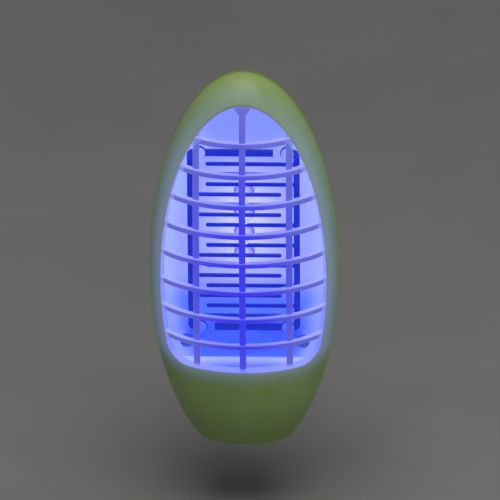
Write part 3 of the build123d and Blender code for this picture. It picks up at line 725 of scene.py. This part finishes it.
PANEL_PLATE = plate(panel_outline(), -PANEL_THICK, 0, 0.3)
panel = new_piece("glow_panel", *PANEL_PLATE, "housing", "panel_plastic", ["reflector_panel"])
for x, z in PANEL_SCREWS:
    flared, end = BOSS_RADIUS + 0.3, SUNK + BOSS_HEIGHT
    boss = [(0, 0), (flared, 0), (flared, SUNK), (BOSS_RADIUS + 0.08, 0.62), (BOSS_RADIUS, 0.9)]
    boss += [(BOSS_RADIUS, end - 0.3), (BOSS_RADIUS - 0.3, end), (0, end)]
    boolean(panel, tool(lathe(boss, place(x, -SUNK, z), (0, -1, 0), PEG_TURNS)), "UNION")
    boolean(panel, tool(bore(x, z, CLEAR_RADIUS, -3, 3)), "DIFFERENCE")
for x in (-EYELET_X, EYELET_X):
    for z in (COMB_Z - END_BAR_FROM_MIDDLE, COMB_Z + END_BAR_FROM_MIDDLE):
        seat, top = SUNK + COMB_BACK, SUNK + COMB_BACK + COMB_THICK
        stake = [(0, 0), (EYELET_RADIUS, 0), (EYELET_RADIUS, seat - 0.1), (STAKE_RADIUS, seat)]
        stake += [(STAKE_RADIUS, top), (STAKE_HEAD, top), (STAKE_HEAD, top + 0.4)]
        stake += [(1.5, top + 0.6), (0.8, top + 0.7), (0, top + 0.7)]
        boolean(panel, tool(lathe(stake, place(x, -SUNK, z), (0, -1, 0), PEG_TURNS)), "UNION")
for z in LAMP_HEIGHTS:
    flare = [(0, 0), (LAMP_HOLE, 0), (LAMP_HOLE, 1.3), (LAMP_HOLE + 0.35, 1.65)]
    flare += [(LAMP_HOLE + 0.5, 2.0), (0, 2.0)]
    boolean(panel, tool(lathe(flare, place(0, -PANEL_THICK - 0.1, z), (0, -1, 0), 56)), "DIFFERENCE")
for x, z in LEAD_HOLES:
    boolean(panel, tool(bore(x, z, CLEAR_RADIUS, -3, 1)), "DIFFERENCE")
boolean(panel, tool(bore(*HOUSING_SCREWS[0], TUBE_RADIUS, -3, 1)), "DIFFERENCE")
smooth(panel, 35)


# ---- Lamps: a clear domed lens over a reflector cup on its post ----
LENS_RADIUS = 2.5
LENS_LENGTH = 8.6
RIM_RADIUS = 2.9
RIM_THICK = 1.0
LAMP_SEAT = -5.6


def lens_profile():
    """Rim, barrel and dome of a 5 mm lamp."""
    start = LENS_LENGTH - LENS_RADIUS
    turns = steps(0, math.pi / 2, 14)
    dome = [(LENS_RADIUS * math.cos(a), start + LENS_RADIUS * math.sin(a)) for a in turns]
    rim = [(0, 0), (RIM_RADIUS, 0), (RIM_RADIUS, RIM_THICK - 0.15), (RIM_RADIUS - 0.15, RIM_THICK)]
    return rim + [(LENS_RADIUS, RIM_THICK)] + dome[:-1] + [(0, LENS_LENGTH)]


CUP = [(0, 0.6), (0.5, 0.6), (0.5, 2.6), (0.9, 3.0), (1.25, 4.2), (1.1, 4.2), (0.7, 3.5), (0, 3.5)]
DIE = [(0, 3.45), (0.45, 3.45), (0.45, 3.8), (0.38, 3.9), (0, 3.9)]
for number, (node, z) in enumerate(zip(LAMP_NODES, LAMP_HEIGHTS), start=1):
    seat = place(0, LAMP_SEAT, z)
    new_piece(f"lens_{number}", *lathe(lens_profile(), seat, (0, -1, 0), 56), "housing", "lamp_lens", [node])
    new_piece(f"cup_{number}", *lathe(CUP, seat, (0, -1, 0), 40), "housing", "tinned_wire")
    new_piece(f"die_{number}", *lathe(DIE, seat, (0, -1, 0), 24), "housing", "lamp_lens")


# ---- Materials ----
PER_MM = 1 / MM


def mix_colours(a, b, share):
    """A colour part of the way from one to another."""
    return tuple(p + (q - p) * share for p, q in zip(a, b))


class Finish:
    """A procedural material on a principled surface, patterned in the object's own space."""

    def __init__(self, name, roughness, sockets=()):
        self.material = bpy.data.materials.new(name)
        self.material.use_nodes = True
        self.nodes = self.material.node_tree.nodes
        self.links = self.material.node_tree.links
        self.surface = self.nodes["Principled BSDF"]
        self.surface.inputs["Roughness"].default_value = roughness
        for socket, value in dict(sockets).items():
            self.surface.inputs[socket].default_value = value
        self.space = self.nodes.new("ShaderNodeTexCoord").outputs["Object"]

    def node(self, kind, inputs=(), **settings):
        """A new node, with its settings and its inputs, each a value or another node's output."""
        made = self.nodes.new("ShaderNode" + kind)
        for setting, value in settings.items():
            setattr(made, setting, value)
        for place_in, value in dict(inputs).items():
            if isinstance(value, bpy.types.NodeSocket):
                self.links.new(value, made.inputs[place_in])
            else:
                made.inputs[place_in].default_value = value
        return made

    def stretched(self, stretch):
        """The object's space scaled along its axes; a pattern runs long where the scale is small."""
        return self.node("Mapping", {"Vector": self.space, "Scale": stretch}).outputs["Vector"]

    def noise(self, cells_per_mm, detail=3.0, stretch=None):
        """Soft noise, 0 to 1."""
        space = self.stretched(stretch) if stretch else self.space
        settings = {"Vector": space, "Scale": cells_per_mm * PER_MM, "Detail": detail}
        return self.node("TexNoise", settings).outputs["Fac"]

    def ranged(self, value, low, high, to_low=0.0, to_high=1.0):
        """A value remapped and clamped, with soft ends."""
        settings = {"Value": value, "From Min": low, "From Max": high, "To Min": to_low, "To Max": to_high}
        return self.node("MapRange", settings, interpolation_type="SMOOTHSTEP").outputs["Result"]

    def maths(self, operation, a, b=0.0):
        """One sum on two values."""
        return self.node("Math", {0: a, 1: b}, operation=operation).outputs["Value"]

    def blend(self, share, a, b, blend_type="MIX"):
        """One colour over another by a share."""
        colours = [(*c, 1.0) if isinstance(c, tuple) else c for c in (a, b)]
        inputs = {0: share, 6: colours[0], 7: colours[1]}
        return self.node("Mix", inputs, data_type="RGBA", blend_type=blend_type).outputs[2]

    def edges(self, width):
        """1 along edges that stick out or fold in, and 0 on plain surfaces."""
        soft = self.node("Bevel", {"Radius": width * MM}, samples=4).outputs["Normal"]
        plain = self.node("NewGeometry").outputs["Normal"]
        turned_by = self.node("VectorMath", {0: soft, 1: plain}, operation="DOT_PRODUCT").outputs["Value"]
        return self.ranged(turned_by, 0.98, 0.80)

    def colour(self, value):
        """Set the surface's colour, plain or patterned."""
        self.put("Base Color", value)

    def put(self, socket, value):
        """Feed a pattern into one of the surface's sockets."""
        self.links.new(value, self.surface.inputs[socket])

    def bump(self, *layers):
        """Relief from (height, depth in millimetres) layers."""
        normal = None
        for height, depth in layers:
            inputs = {"Height": height, "Strength": 1.0, "Distance": depth * MM}
            if normal:
                inputs["Normal"] = normal
            normal = self.node("Bump", inputs).outputs["Normal"]
        self.put("Normal", normal)


def from_middle(finish, half_width, half_height, middle_z=0.0):
    """Distance from the middle of the body in the plane of the grille, 1 on an ellipse of that size."""
    location = (0, 0, -(BODY_Z + middle_z) / half_height)
    scale = (1 / (half_width * MM), 0, 1 / (half_height * MM))
    inputs = {"Vector": finish.space, "Location": location, "Scale": scale}
    flat = finish.node("Mapping", inputs).outputs["Vector"]
    return finish.node("VectorMath", {0: flat}, operation="LENGTH").outputs["Value"]


def height_in_body(finish):
    """Height from the middle of the body, in metres."""
    up = finish.node("SeparateXYZ", {"Vector": finish.space}).outputs["Z"]
    return finish.maths("SUBTRACT", up, BODY_Z * MM)


def by_height(finish, low, high, to_low=0.0, to_high=1.0):
    """A value that changes between two heights, in millimetres from the middle of the body."""
    return finish.ranged(height_in_body(finish), low * MM, high * MM, to_low, to_high)


LIP_END = lip_corner()[0].x
GREEN = (0.47, 0.66, 0.23)
GREEN_DEEP = (0.41, 0.60, 0.18)
GREEN_WORN = (0.62, 0.74, 0.44)
RIM_SHEEN_GREEN = (0.54, 0.74, 0.15)
LIT_PLASTIC = (0.11, 0.11, 0.42)
# Glow colours painted for the lamps' light: the bars' undersides, a painted highlight on their tops, the
# opening's wall and the cover round it.
BAR_GLOW_DEEP = (0.020, 0.018, 0.78)
BAR_GLOW_PALE = (0.115, 0.125, 0.54)
BAR_TOP_HIGHLIGHT = (0.20, 0.20, 0.95)
BAR_TOP_HIGHLIGHT_PALE = (0.36, 0.39, 0.86)
WALL_LIT = (0.27, 0.33, 0.84)
COVER_HALO = (0.22, 0.33, 0.90)
COVER_EDGE_GLOW = (0.26, 0.25, 0.76)


def housing_finish(name, base, deep, glow):
    """Satin translucent plastic: faint flow marks, fine grain and paler handled edges; with glow, also a
    painted rim sheen, painted shade towards the foot and the lamps' light painted into the colour and as
    glow.
    """
    finish = Finish(name, 0.34, {"IOR": 1.46, "Subsurface Scale": 0.004})
    finish.surface.inputs["Subsurface Weight"].default_value = 0.12
    finish.surface.inputs["Subsurface Radius"].default_value = (0.7, 1.0, 0.5)
    finish.surface.inputs["Coat Weight"].default_value = 0.15
    finish.surface.inputs["Coat Roughness"].default_value = 0.18
    clouds = finish.noise(0.055, 4.0, (1, 1, 0.5))
    flow = finish.noise(0.22, 5.0, (1, 1, 0.22))
    grain = finish.noise(7.0, 2.0)
    scuffs = finish.noise(0.9, 6.0, (1, 1, 2.5))
    colour = finish.blend(finish.ranged(clouds, 0.35, 0.68), base, deep)
    streak = mix_colours(base, (0.8, 0.9, 0.6), 0.3)
    colour = finish.blend(finish.ranged(flow, 0.52, 0.75, 0, 0.35), colour, streak)
    worn = finish.maths("MULTIPLY", finish.edges(0.7), finish.ranged(scuffs, 0.38, 0.62, 0.25, 0.8))
    colour = finish.blend(worn, colour, GREEN_WORN)
    if glow:
        outside = outside_opening(finish)
        depth = finish.node("SeparateXYZ", {"Vector": finish.space}).outputs["Y"]
        # Painted sheen: the cover is painted paler, more saturated green towards its rim at the parting
        # plane.
        seam = finish.ranged(depth, (PARTING_Y - 7.0) * MM, (PARTING_Y - 1.5) * MM, 0, 0.8)
        # Painted shade: the cover's colour is darkened towards its foot.
        foot = by_height(finish, -34, -52, 0.0, 0.55)
        colour = finish.blend(foot, colour, mix_colours(deep, (0, 0, 0), 0.45))
        colour = finish.blend(seam, colour, RIM_SHEEN_GREEN)
        # Painted light: inside the opening the bars' colour is the lamps' violet light, not the plastic's
        # green.
        colour = finish.blend(finish.ranged(outside, 0.5, -0.4), colour, LIT_PLASTIC)
        add_housing_glow(finish, outside)
    finish.colour(colour)
    rough = finish.ranged(scuffs, 0.3, 0.75, 0.28, 0.44)
    finish.put("Roughness", finish.maths("ADD", rough, finish.maths("MULTIPLY", worn, 0.12)))
    finish.bump((grain, 0.008), (flow, 0.05), (finish.ranged(scuffs, 0.58, 0.72), 0.006))
    return finish.material


def outside_opening(finish):
    """Distance outside the opening's outline in millimetres, negative inside it."""
    place_at = finish.node("SeparateXYZ", {"Vector": finish.space}).outputs
    across = finish.maths("MULTIPLY", finish.maths("ABSOLUTE", place_at["X"]), PER_MM)
    height = finish.maths("MULTIPLY", height_in_body(finish), PER_MM)
    below = finish.maths("SUBTRACT", LIP_CORNER - LIP_BELOW, height)
    low = finish.ranged(below, -4.0, 0.0)
    past_lip = finish.maths("MAXIMUM", finish.maths("SUBTRACT", across, LIP_END), 0.0)
    over_x = finish.maths("POWER", finish.maths("MULTIPLY", past_lip, low), 2.0)
    over_z = finish.maths("POWER", finish.maths("MAXIMUM", below, 0.0), 2.0)
    reach = finish.maths("SQRT", finish.maths("ADD", over_x, over_z))
    from_lip = finish.maths("SUBTRACT", reach, LIP_CORNER)
    ellipse = from_middle(finish, OPENING_HALF_WIDTH, OPENING_HALF_HEIGHT)
    from_ellipse = finish.maths("MULTIPLY", finish.maths("SUBTRACT", ellipse, 1.0), OPENING_HALF_WIDTH + 6.0)
    return finish.maths("MAXIMUM", from_lip, from_ellipse)


def add_housing_glow(finish, outside):
    """The lamps' light painted on as glow: through the bars and the opening's wall and, faintly, into the
    cover round it, weaker towards the top and the foot.
    """
    inside = finish.ranged(outside, 0.35, -0.25)
    wall = finish.ranged(outside, -1.7, -0.7)
    wall = finish.maths("MULTIPLY", wall, by_height(finish, 54, 40, 0.0, 0.7))
    near = finish.maths("POWER", finish.ranged(outside, 8.0, 0.0), 2.0)
    near = finish.maths("MULTIPLY", near, by_height(finish, -30, -20, 0.35, 1.0))
    near = finish.maths("MULTIPLY", near, by_height(finish, 60, 35, 0.45, 1.0))
    centre = finish.ranged(from_middle(finish, 24.0, 60.0, 4.0), 0.95, 0.2)
    # Painted highlight: faces of the bars that look upward glow paler.
    facing = finish.node("SeparateXYZ", {"Vector": finish.node("TexCoord").outputs["Normal"]}).outputs["Z"]
    upward_highlight = finish.ranged(facing, 0.5, 1.0)
    under = finish.blend(centre, BAR_GLOW_PALE, BAR_GLOW_DEEP)
    over = finish.blend(centre, BAR_TOP_HIGHLIGHT_PALE, BAR_TOP_HIGHLIGHT)
    bars = finish.blend(upward_highlight, under, over)
    bars = finish.blend(wall, bars, WALL_LIT)
    cover_glow = finish.blend(finish.ranged(outside, 1.8, 0.3), COVER_HALO, COVER_EDGE_GLOW)
    finish.put("Emission Color", finish.blend(inside, cover_glow, bars))
    cover = finish.maths("MULTIPLY", near, 0.30)
    finish.put("Emission Strength", finish.maths("MAXIMUM", finish.maths("MULTIPLY", inside, 0.9), cover))


def panel_finish():
    """White matt plastic with fine grain; the lamps' violet light is painted on as glow, palest beside them
    and blue below, and painted shade darkens the colour below.
    """
    finish = Finish("panel_white", 0.5, {"IOR": 1.46})
    clouds = finish.noise(0.08, 3.0)
    grain = finish.noise(5.0, 3.0)
    dust = finish.noise(0.8, 6.0)
    colour = finish.blend(finish.ranged(clouds, 0.3, 0.7), (0.50, 0.52, 0.68), (0.44, 0.46, 0.64))
    colour = finish.blend(finish.ranged(dust, 0.62, 0.78, 0, 0.4), colour, (0.38, 0.40, 0.55))
    finish.put("Roughness", finish.ranged(clouds, 0.3, 0.7, 0.42, 0.58))
    finish.bump((grain, 0.012), (dust, 0.02))
    lamps = from_middle(finish, 17.0, 30.0, sum(LAMP_HEIGHTS) / 4)
    high = by_height(finish, 26, 44)
    low = by_height(finish, -2, -12)
    foot = by_height(finish, -15, -21)
    side = finish.ranged(from_middle(finish, 27.0, 60.0), 0.66, 0.86)
    side = finish.maths("MULTIPLY", side, by_height(finish, 48, 34, 0.0, 0.65))
    # Painted light: the lamps' light as glow, palest beside them, blue below and greyer at the sides.
    glow = finish.blend(high, (0.25, 0.29, 0.92), (0.17, 0.23, 0.84))
    glow = finish.blend(finish.ranged(lamps, 1.1, 0.2), glow, (0.41, 0.43, 0.95))
    glow = finish.blend(low, glow, (0.07, 0.14, 0.95))
    glow = finish.blend(foot, glow, (0.01, 0.05, 0.88))
    glow = finish.blend(side, glow, (0.34, 0.41, 0.74))
    # Painted shade: the panel's colour is darker in its lower part.
    finish.colour(finish.blend(low, colour, (0.24, 0.30, 0.62)))
    finish.put("Emission Color", glow)
    finish.put("Emission Strength", finish.ranged(clouds, 0.2, 0.8, 0.84, 0.94))
    return finish.material


def guide_finish():
    """White plastic of the shelf and funnel, with the lamps' light from above painted on as glow, paler
    higher up.
    """
    finish = Finish("guide_white", 0.5)
    clouds = finish.noise(0.1, 3.0)
    grain = finish.noise(5.0, 3.0)
    finish.colour(finish.blend(finish.ranged(clouds, 0.3, 0.7), (0.60, 0.60, 0.72), (0.54, 0.55, 0.68)))
    finish.put("Roughness", finish.ranged(grain, 0.3, 0.7, 0.42, 0.58))
    finish.bump((grain, 0.012), (clouds, 0.03))
    # Painted light: glow standing in for the lamps' light, paler higher up.
    shelf = by_height(finish, -(PANEL_FOOT + 5.0), -(PANEL_FOOT + 0.2))
    finish.put("Emission Color", finish.blend(shelf, (0.10, 0.14, 0.80), (0.32, 0.35, 0.90)))
    finish.put("Emission Strength", finish.ranged(clouds, 0.2, 0.8, 0.75, 0.95))
    return finish.material


def metal_finish(name, colour, dark, roughness, brush, painted_glow=None):
    """Brushed or drawn metal with stains, fine scratches and brighter edges, and where given, a painted glow
    of the lamps' light.
    """
    finish = Finish(name, roughness, {"Metallic": 1.0})
    lines = finish.noise(1.6, 4.0, brush)
    stains = finish.noise(0.35, 5.0)
    base = finish.blend(finish.ranged(stains, 0.35, 0.7, 0, 0.6), colour, dark)
    edge = finish.edges(0.25)
    finish.colour(finish.blend(edge, base, mix_colours(colour, (1, 1, 1), 0.35)))
    finish.put("Roughness", finish.ranged(lines, 0.3, 0.7, roughness * 0.75, roughness * 1.4))
    finish.bump((lines, 0.01), (stains, 0.02))
    # Painted light: an even glow standing in for the lamps' violet light on the metal.
    if painted_glow:
        finish.surface.inputs["Emission Color"].default_value = (*painted_glow, 1.0)
        finish.surface.inputs["Emission Strength"].default_value = 1.0
    return finish.material


def moulded_finish(name, colour, second, roughness, grain_mm=4.0, grain_depth=0.015):
    """Plain moulded, dipped or printed material with blotches, grain and paler edges."""
    finish = Finish(name, roughness)
    blotches = finish.noise(0.3, 4.0)
    grain = finish.noise(grain_mm, 3.0)
    base = finish.blend(finish.ranged(blotches, 0.35, 0.7), colour, second)
    edge = finish.maths("MULTIPLY", finish.edges(0.3), 0.5)
    finish.colour(finish.blend(edge, base, mix_colours(colour, (1, 1, 1), 0.25)))
    finish.put("Roughness", finish.ranged(blotches, 0.3, 0.7, roughness * 0.85, min(roughness * 1.2, 1.0)))
    finish.bump((grain, grain_depth), (blotches, 0.02))
    return finish.material


def board_finish():
    """Glass-fibre board: woven texture under a mottled tan resin."""
    finish = Finish("board_resin", 0.45)
    threads = {"Vector": finish.space, "Scale": 380.0, "Distortion": 0.6}
    weave = [finish.node("TexWave", threads, bands_direction=way) for way in ("X", "Z")]
    cloth = finish.maths("MULTIPLY", weave[0].outputs["Fac"], weave[1].outputs["Fac"])
    mottle = finish.noise(0.25, 4.0)
    base = finish.blend(finish.ranged(mottle, 0.3, 0.7), (0.58, 0.45, 0.24), (0.50, 0.37, 0.18))
    finish.colour(finish.blend(finish.ranged(cloth, 0.3, 0.9, 0, 0.35), base, (0.68, 0.56, 0.34)))
    finish.put("Roughness", finish.ranged(cloth, 0.0, 1.0, 0.38, 0.55))
    finish.bump((cloth, 0.02))
    return finish.material


def lens_finish():
    """Clear epoxy with a violet cast, faint haze and moulding ripples."""
    finish = Finish("lamp_epoxy", 0.05, {"IOR": 1.50})
    finish.surface.inputs["Transmission Weight"].default_value = 0.85
    haze = finish.noise(0.7, 3.0)
    finish.colour(finish.blend(finish.ranged(haze, 0.3, 0.7), (0.42, 0.44, 1.0), (0.34, 0.36, 1.0)))
    finish.put("Roughness", finish.ranged(haze, 0.35, 0.75, 0.03, 0.14))
    finish.bump((haze, 0.02))
    depth = finish.node("SeparateXYZ", {"Vector": finish.space}).outputs["Y"]
    tip = finish.ranged(depth, -0.0330, -0.0360)
    finish.put("Emission Color", finish.blend(tip, (0.12, 0.12, 0.95), (0.62, 0.60, 1.0)))
    finish.put("Emission Strength", finish.ranged(haze, 0.2, 0.8, 0.60, 0.80))
    return finish.material


def die_finish():
    """The glowing chip in its cup."""
    finish = Finish("lamp_chip", 0.4)
    spots = finish.noise(3.0, 2.0)
    finish.colour(finish.blend(spots, (0.5, 0.4, 1.0), (0.7, 0.6, 1.0)))
    finish.put("Emission Color", finish.blend(spots, (0.45, 0.42, 1.0), (0.72, 0.70, 1.0)))
    finish.surface.inputs["Emission Strength"].default_value = 4.0
    return finish.material


def wear(pieces, material):
    """Give every slot of the pieces one material."""
    for piece in pieces:
        if piece.material_slots:
            for slot in piece.material_slots:
                slot.material = material
        else:
            piece.data.materials.append(material)


def pieces_named(*names):
    """Pieces made here, by name."""
    return [bpy.data.objects[name] for name in names]


def cad(*nodes):
    """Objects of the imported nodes."""
    return [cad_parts[node] for node in nodes]


# The combs' steel is painted dark blue and given a glow: painted light of the lamps on the metal.
COMB_BLUE = (0.10, 0.12, 0.28)
COMB_DARK = (0.05, 0.07, 0.20)
COMB_PAINTED_GLOW = (0.002, 0.014, 0.44)
COMB_METAL = metal_finish("comb_steel_brushed", COMB_BLUE, COMB_DARK, 0.30, (0.12, 1, 1), COMB_PAINTED_GLOW)
WIRE = metal_finish("tinned_wire_drawn", (0.66, 0.66, 0.66), (0.45, 0.45, 0.46), 0.28, (1, 0.2, 1))
SCREW_ZINC = (0.56, 0.57, 0.58)
SCREW_DARK = (0.36, 0.36, 0.35)
SCREW = metal_finish("screw_zinc", SCREW_ZINC, SCREW_DARK, 0.32, (1, 1, 0.3))
NICKEL = metal_finish("pin_nickel_plate", (0.72, 0.70, 0.66), (0.52, 0.49, 0.44), 0.20, (1, 0.08, 1))
wear(pieces_named("front_cover_shell"), housing_finish("housing_front", GREEN, GREEN_DEEP, glow=True))
wear(pieces_named("tray_cup"), housing_finish("housing_tray", GREEN, GREEN_DEEP, glow=False))
REAR_GREEN = (0.46, 0.62, 0.13)
REAR_DEEP = (0.38, 0.54, 0.09)
wear(pieces_named("rear_cover_shell"), housing_finish("housing_rear", REAR_GREEN, REAR_DEEP, glow=False))
wear(pieces_named("glow_panel"), panel_finish())
wear(cad("tray_guide"), guide_finish())
wear(pieces_named("comb_left", "comb_right"), COMB_METAL)
wear(pieces_named("lens_1", "lens_2", "lens_3", "lens_4"), lens_finish())
wear(pieces_named("die_1", "die_2", "die_3", "die_4"), die_finish())
wear(pieces_named("cup_1", "cup_2", "cup_3", "cup_4"), COMB_METAL)
wear(cad("led_legs", "component_legs", "hv_lead_left", "hv_lead_right"), WIRE)
wear(pieces_named("pin_left", "pin_right"), NICKEL)
SLEEVE_BLACK = moulded_finish("sleeve_black", (0.03, 0.03, 0.032), (0.05, 0.05, 0.05), 0.5)
wear(pieces_named("sleeve_left", "sleeve_right"), SLEEVE_BLACK)
wear(cad("main_board"), board_finish())
MOULDED = {
    "pin_retainer": ("retainer_grey", (0.16, 0.16, 0.17), (0.11, 0.11, 0.12), 0.5),
    "film_capacitors": ("film_red", (0.50, 0.10, 0.06), (0.38, 0.07, 0.04), 0.3, 2.0),
    "electrolytic_capacitor": ("sleeve_navy", (0.03, 0.035, 0.08), (0.02, 0.02, 0.05), 0.28, 1.0),
    "diodes": ("diode_black", (0.025, 0.025, 0.025), (0.05, 0.05, 0.05), 0.45),
    "resistors": ("resistor_tan", (0.72, 0.60, 0.42), (0.62, 0.50, 0.33), 0.35, 2.0),
    "fuse_resistor": ("fuse_green", (0.40, 0.52, 0.45), (0.32, 0.44, 0.38), 0.6, 3.0, 0.03),
    "live_lead": ("live_brown", (0.26, 0.13, 0.06), (0.20, 0.09, 0.04), 0.5),
    "neutral_lead": ("neutral_blue", (0.06, 0.14, 0.42), (0.04, 0.10, 0.32), 0.5),
}
for node, looks in MOULDED.items():
    wear(cad(node), moulded_finish(*looks))
wear(cad("housing_screws", "board_screws", "retainer_screw"), SCREW)
# The panel screws are painted blue and given a glow: painted light of the lamps on the zinc.
LIT_ZINC = (0.26, 0.30, 0.48)
LIT_DARK = (0.14, 0.17, 0.34)
SCREW_PAINTED_GLOW = (0.01, 0.03, 0.30)
wear(cad("panel_screws"), metal_finish("screw_zinc_lit", LIT_ZINC, LIT_DARK, 0.32, (1, 1, 0.3), SCREW_PAINTED_GLOW))


# ---- Stage: a pale floor below the tray's travel ----
FLOOR_Z = -84.0
FLOOR_HALF = 2500.0


def stage_floor():
    """A plain pale floor with the faint mottle of painted plaster."""
    size = FLOOR_HALF
    corners = ((-size, -size), (size, -size), (size, size), (-size, size))
    points = [Vector((x, y, FLOOR_Z)) for x, y in corners]
    floor = new_piece("stage_floor", points, [[0, 1, 2, 3]], None, None)
    finish = Finish("stage_plaster", 0.85)
    mottle = finish.noise(0.02, 5.0)
    finish.colour(finish.blend(finish.ranged(mottle, 0.3, 0.7), (0.40, 0.395, 0.39), (0.43, 0.425, 0.42)))
    finish.bump((finish.noise(0.35, 4.0), 0.12))
    wear([floor], finish.material)


stage_floor()


# ---- Lights ----
MIDDLE = place(0, 0, 0) * MM


def new_light(name, kind, position, power, colour):
    """A light at a position in metres, which the camera doesn't see."""
    data = bpy.data.lights.new(name, kind)
    data.energy = power
    data.color = colour
    light = bpy.data.objects.new(name, data)
    light.location = position
    light.visible_camera = False
    bpy.context.scene.collection.objects.link(light)
    return light


def soft_light(name, position, power, size, colour):
    """A large square light aimed at the middle of the body."""
    light = new_light(name, "AREA", MIDDLE + Vector(position), power, colour)
    light.data.size = size
    light.rotation_euler = (-Vector(position)).to_track_quat("-Z", "Y").to_euler()


def lamp_light(name, position, power, colour, radius):
    """A small lamp inside the housing."""
    new_light(name, "POINT", position * MM, power, colour).data.shadow_soft_size = radius * MM


soft_light("overhead", (0.05, -0.25, 0.95), 3.8, 0.8, (1.0, 0.985, 0.96))
soft_light("front_fill", (0.55, -1.05, 0.30), 1.22, 0.9, (0.95, 0.97, 1.0))
for number, z in enumerate(LAMP_HEIGHTS, start=1):
    lamp_light(f"lamp_glow_{number}", place(0, 3.9, z), 0.0014, (0.40, 0.38, 1.0), 1.2)
lamp_light("chamber_glow_low", place(0, 3.5, -18), 0.0012, (0.05, 0.12, 1.0), 3.0)

world = bpy.data.worlds.new("studio")
world.use_nodes = True
world.node_tree.nodes["Background"].inputs["Color"].default_value = (0.80, 0.83, 0.88, 1.0)
world.node_tree.nodes["Background"].inputs["Strength"].default_value = 0.07
bpy.context.scene.world = world
bpy.context.scene.view_settings.view_transform = "Standard"


# ---- Camera: long lens, above the middle and a little to the object's right ----
CAMERA_ELEVATION = 26.2
CAMERA_AZIMUTH = 2.1
CAMERA_ROLL = 0.4
CAMERA_LENS = 700.0
CAMERA_SENSOR = 36.0
VIEW_WIDTH = 147.2
AIM_RIGHT = 1.6
AIM_UP = 4.75


def camera_at_view():
    """The camera at the viewing angle, aimed a little above and to the right of the body's middle."""
    azimuth, elevation = math.radians(CAMERA_AZIMUTH), math.radians(CAMERA_ELEVATION)
    away = Vector((
        math.sin(azimuth) * math.cos(elevation),
        -math.cos(azimuth) * math.cos(elevation),
        math.sin(elevation),
    ))
    turn = (-away).to_track_quat("-Z", "Y").to_matrix() @ Matrix.Rotation(math.radians(-CAMERA_ROLL), 3, "Z")
    aim = MIDDLE + turn @ Vector((AIM_RIGHT, AIM_UP, 0)) * MM
    data = bpy.data.cameras.new("camera")
    data.lens = CAMERA_LENS
    data.sensor_width = CAMERA_SENSOR
    camera = bpy.data.objects.new("camera", data)
    distance = VIEW_WIDTH * MM * CAMERA_LENS / CAMERA_SENSOR
    camera.matrix_world = Matrix.Translation(aim + away * distance) @ turn.to_4x4()
    bpy.context.scene.collection.objects.link(camera)
    bpy.context.scene.camera = camera


camera_at_view()
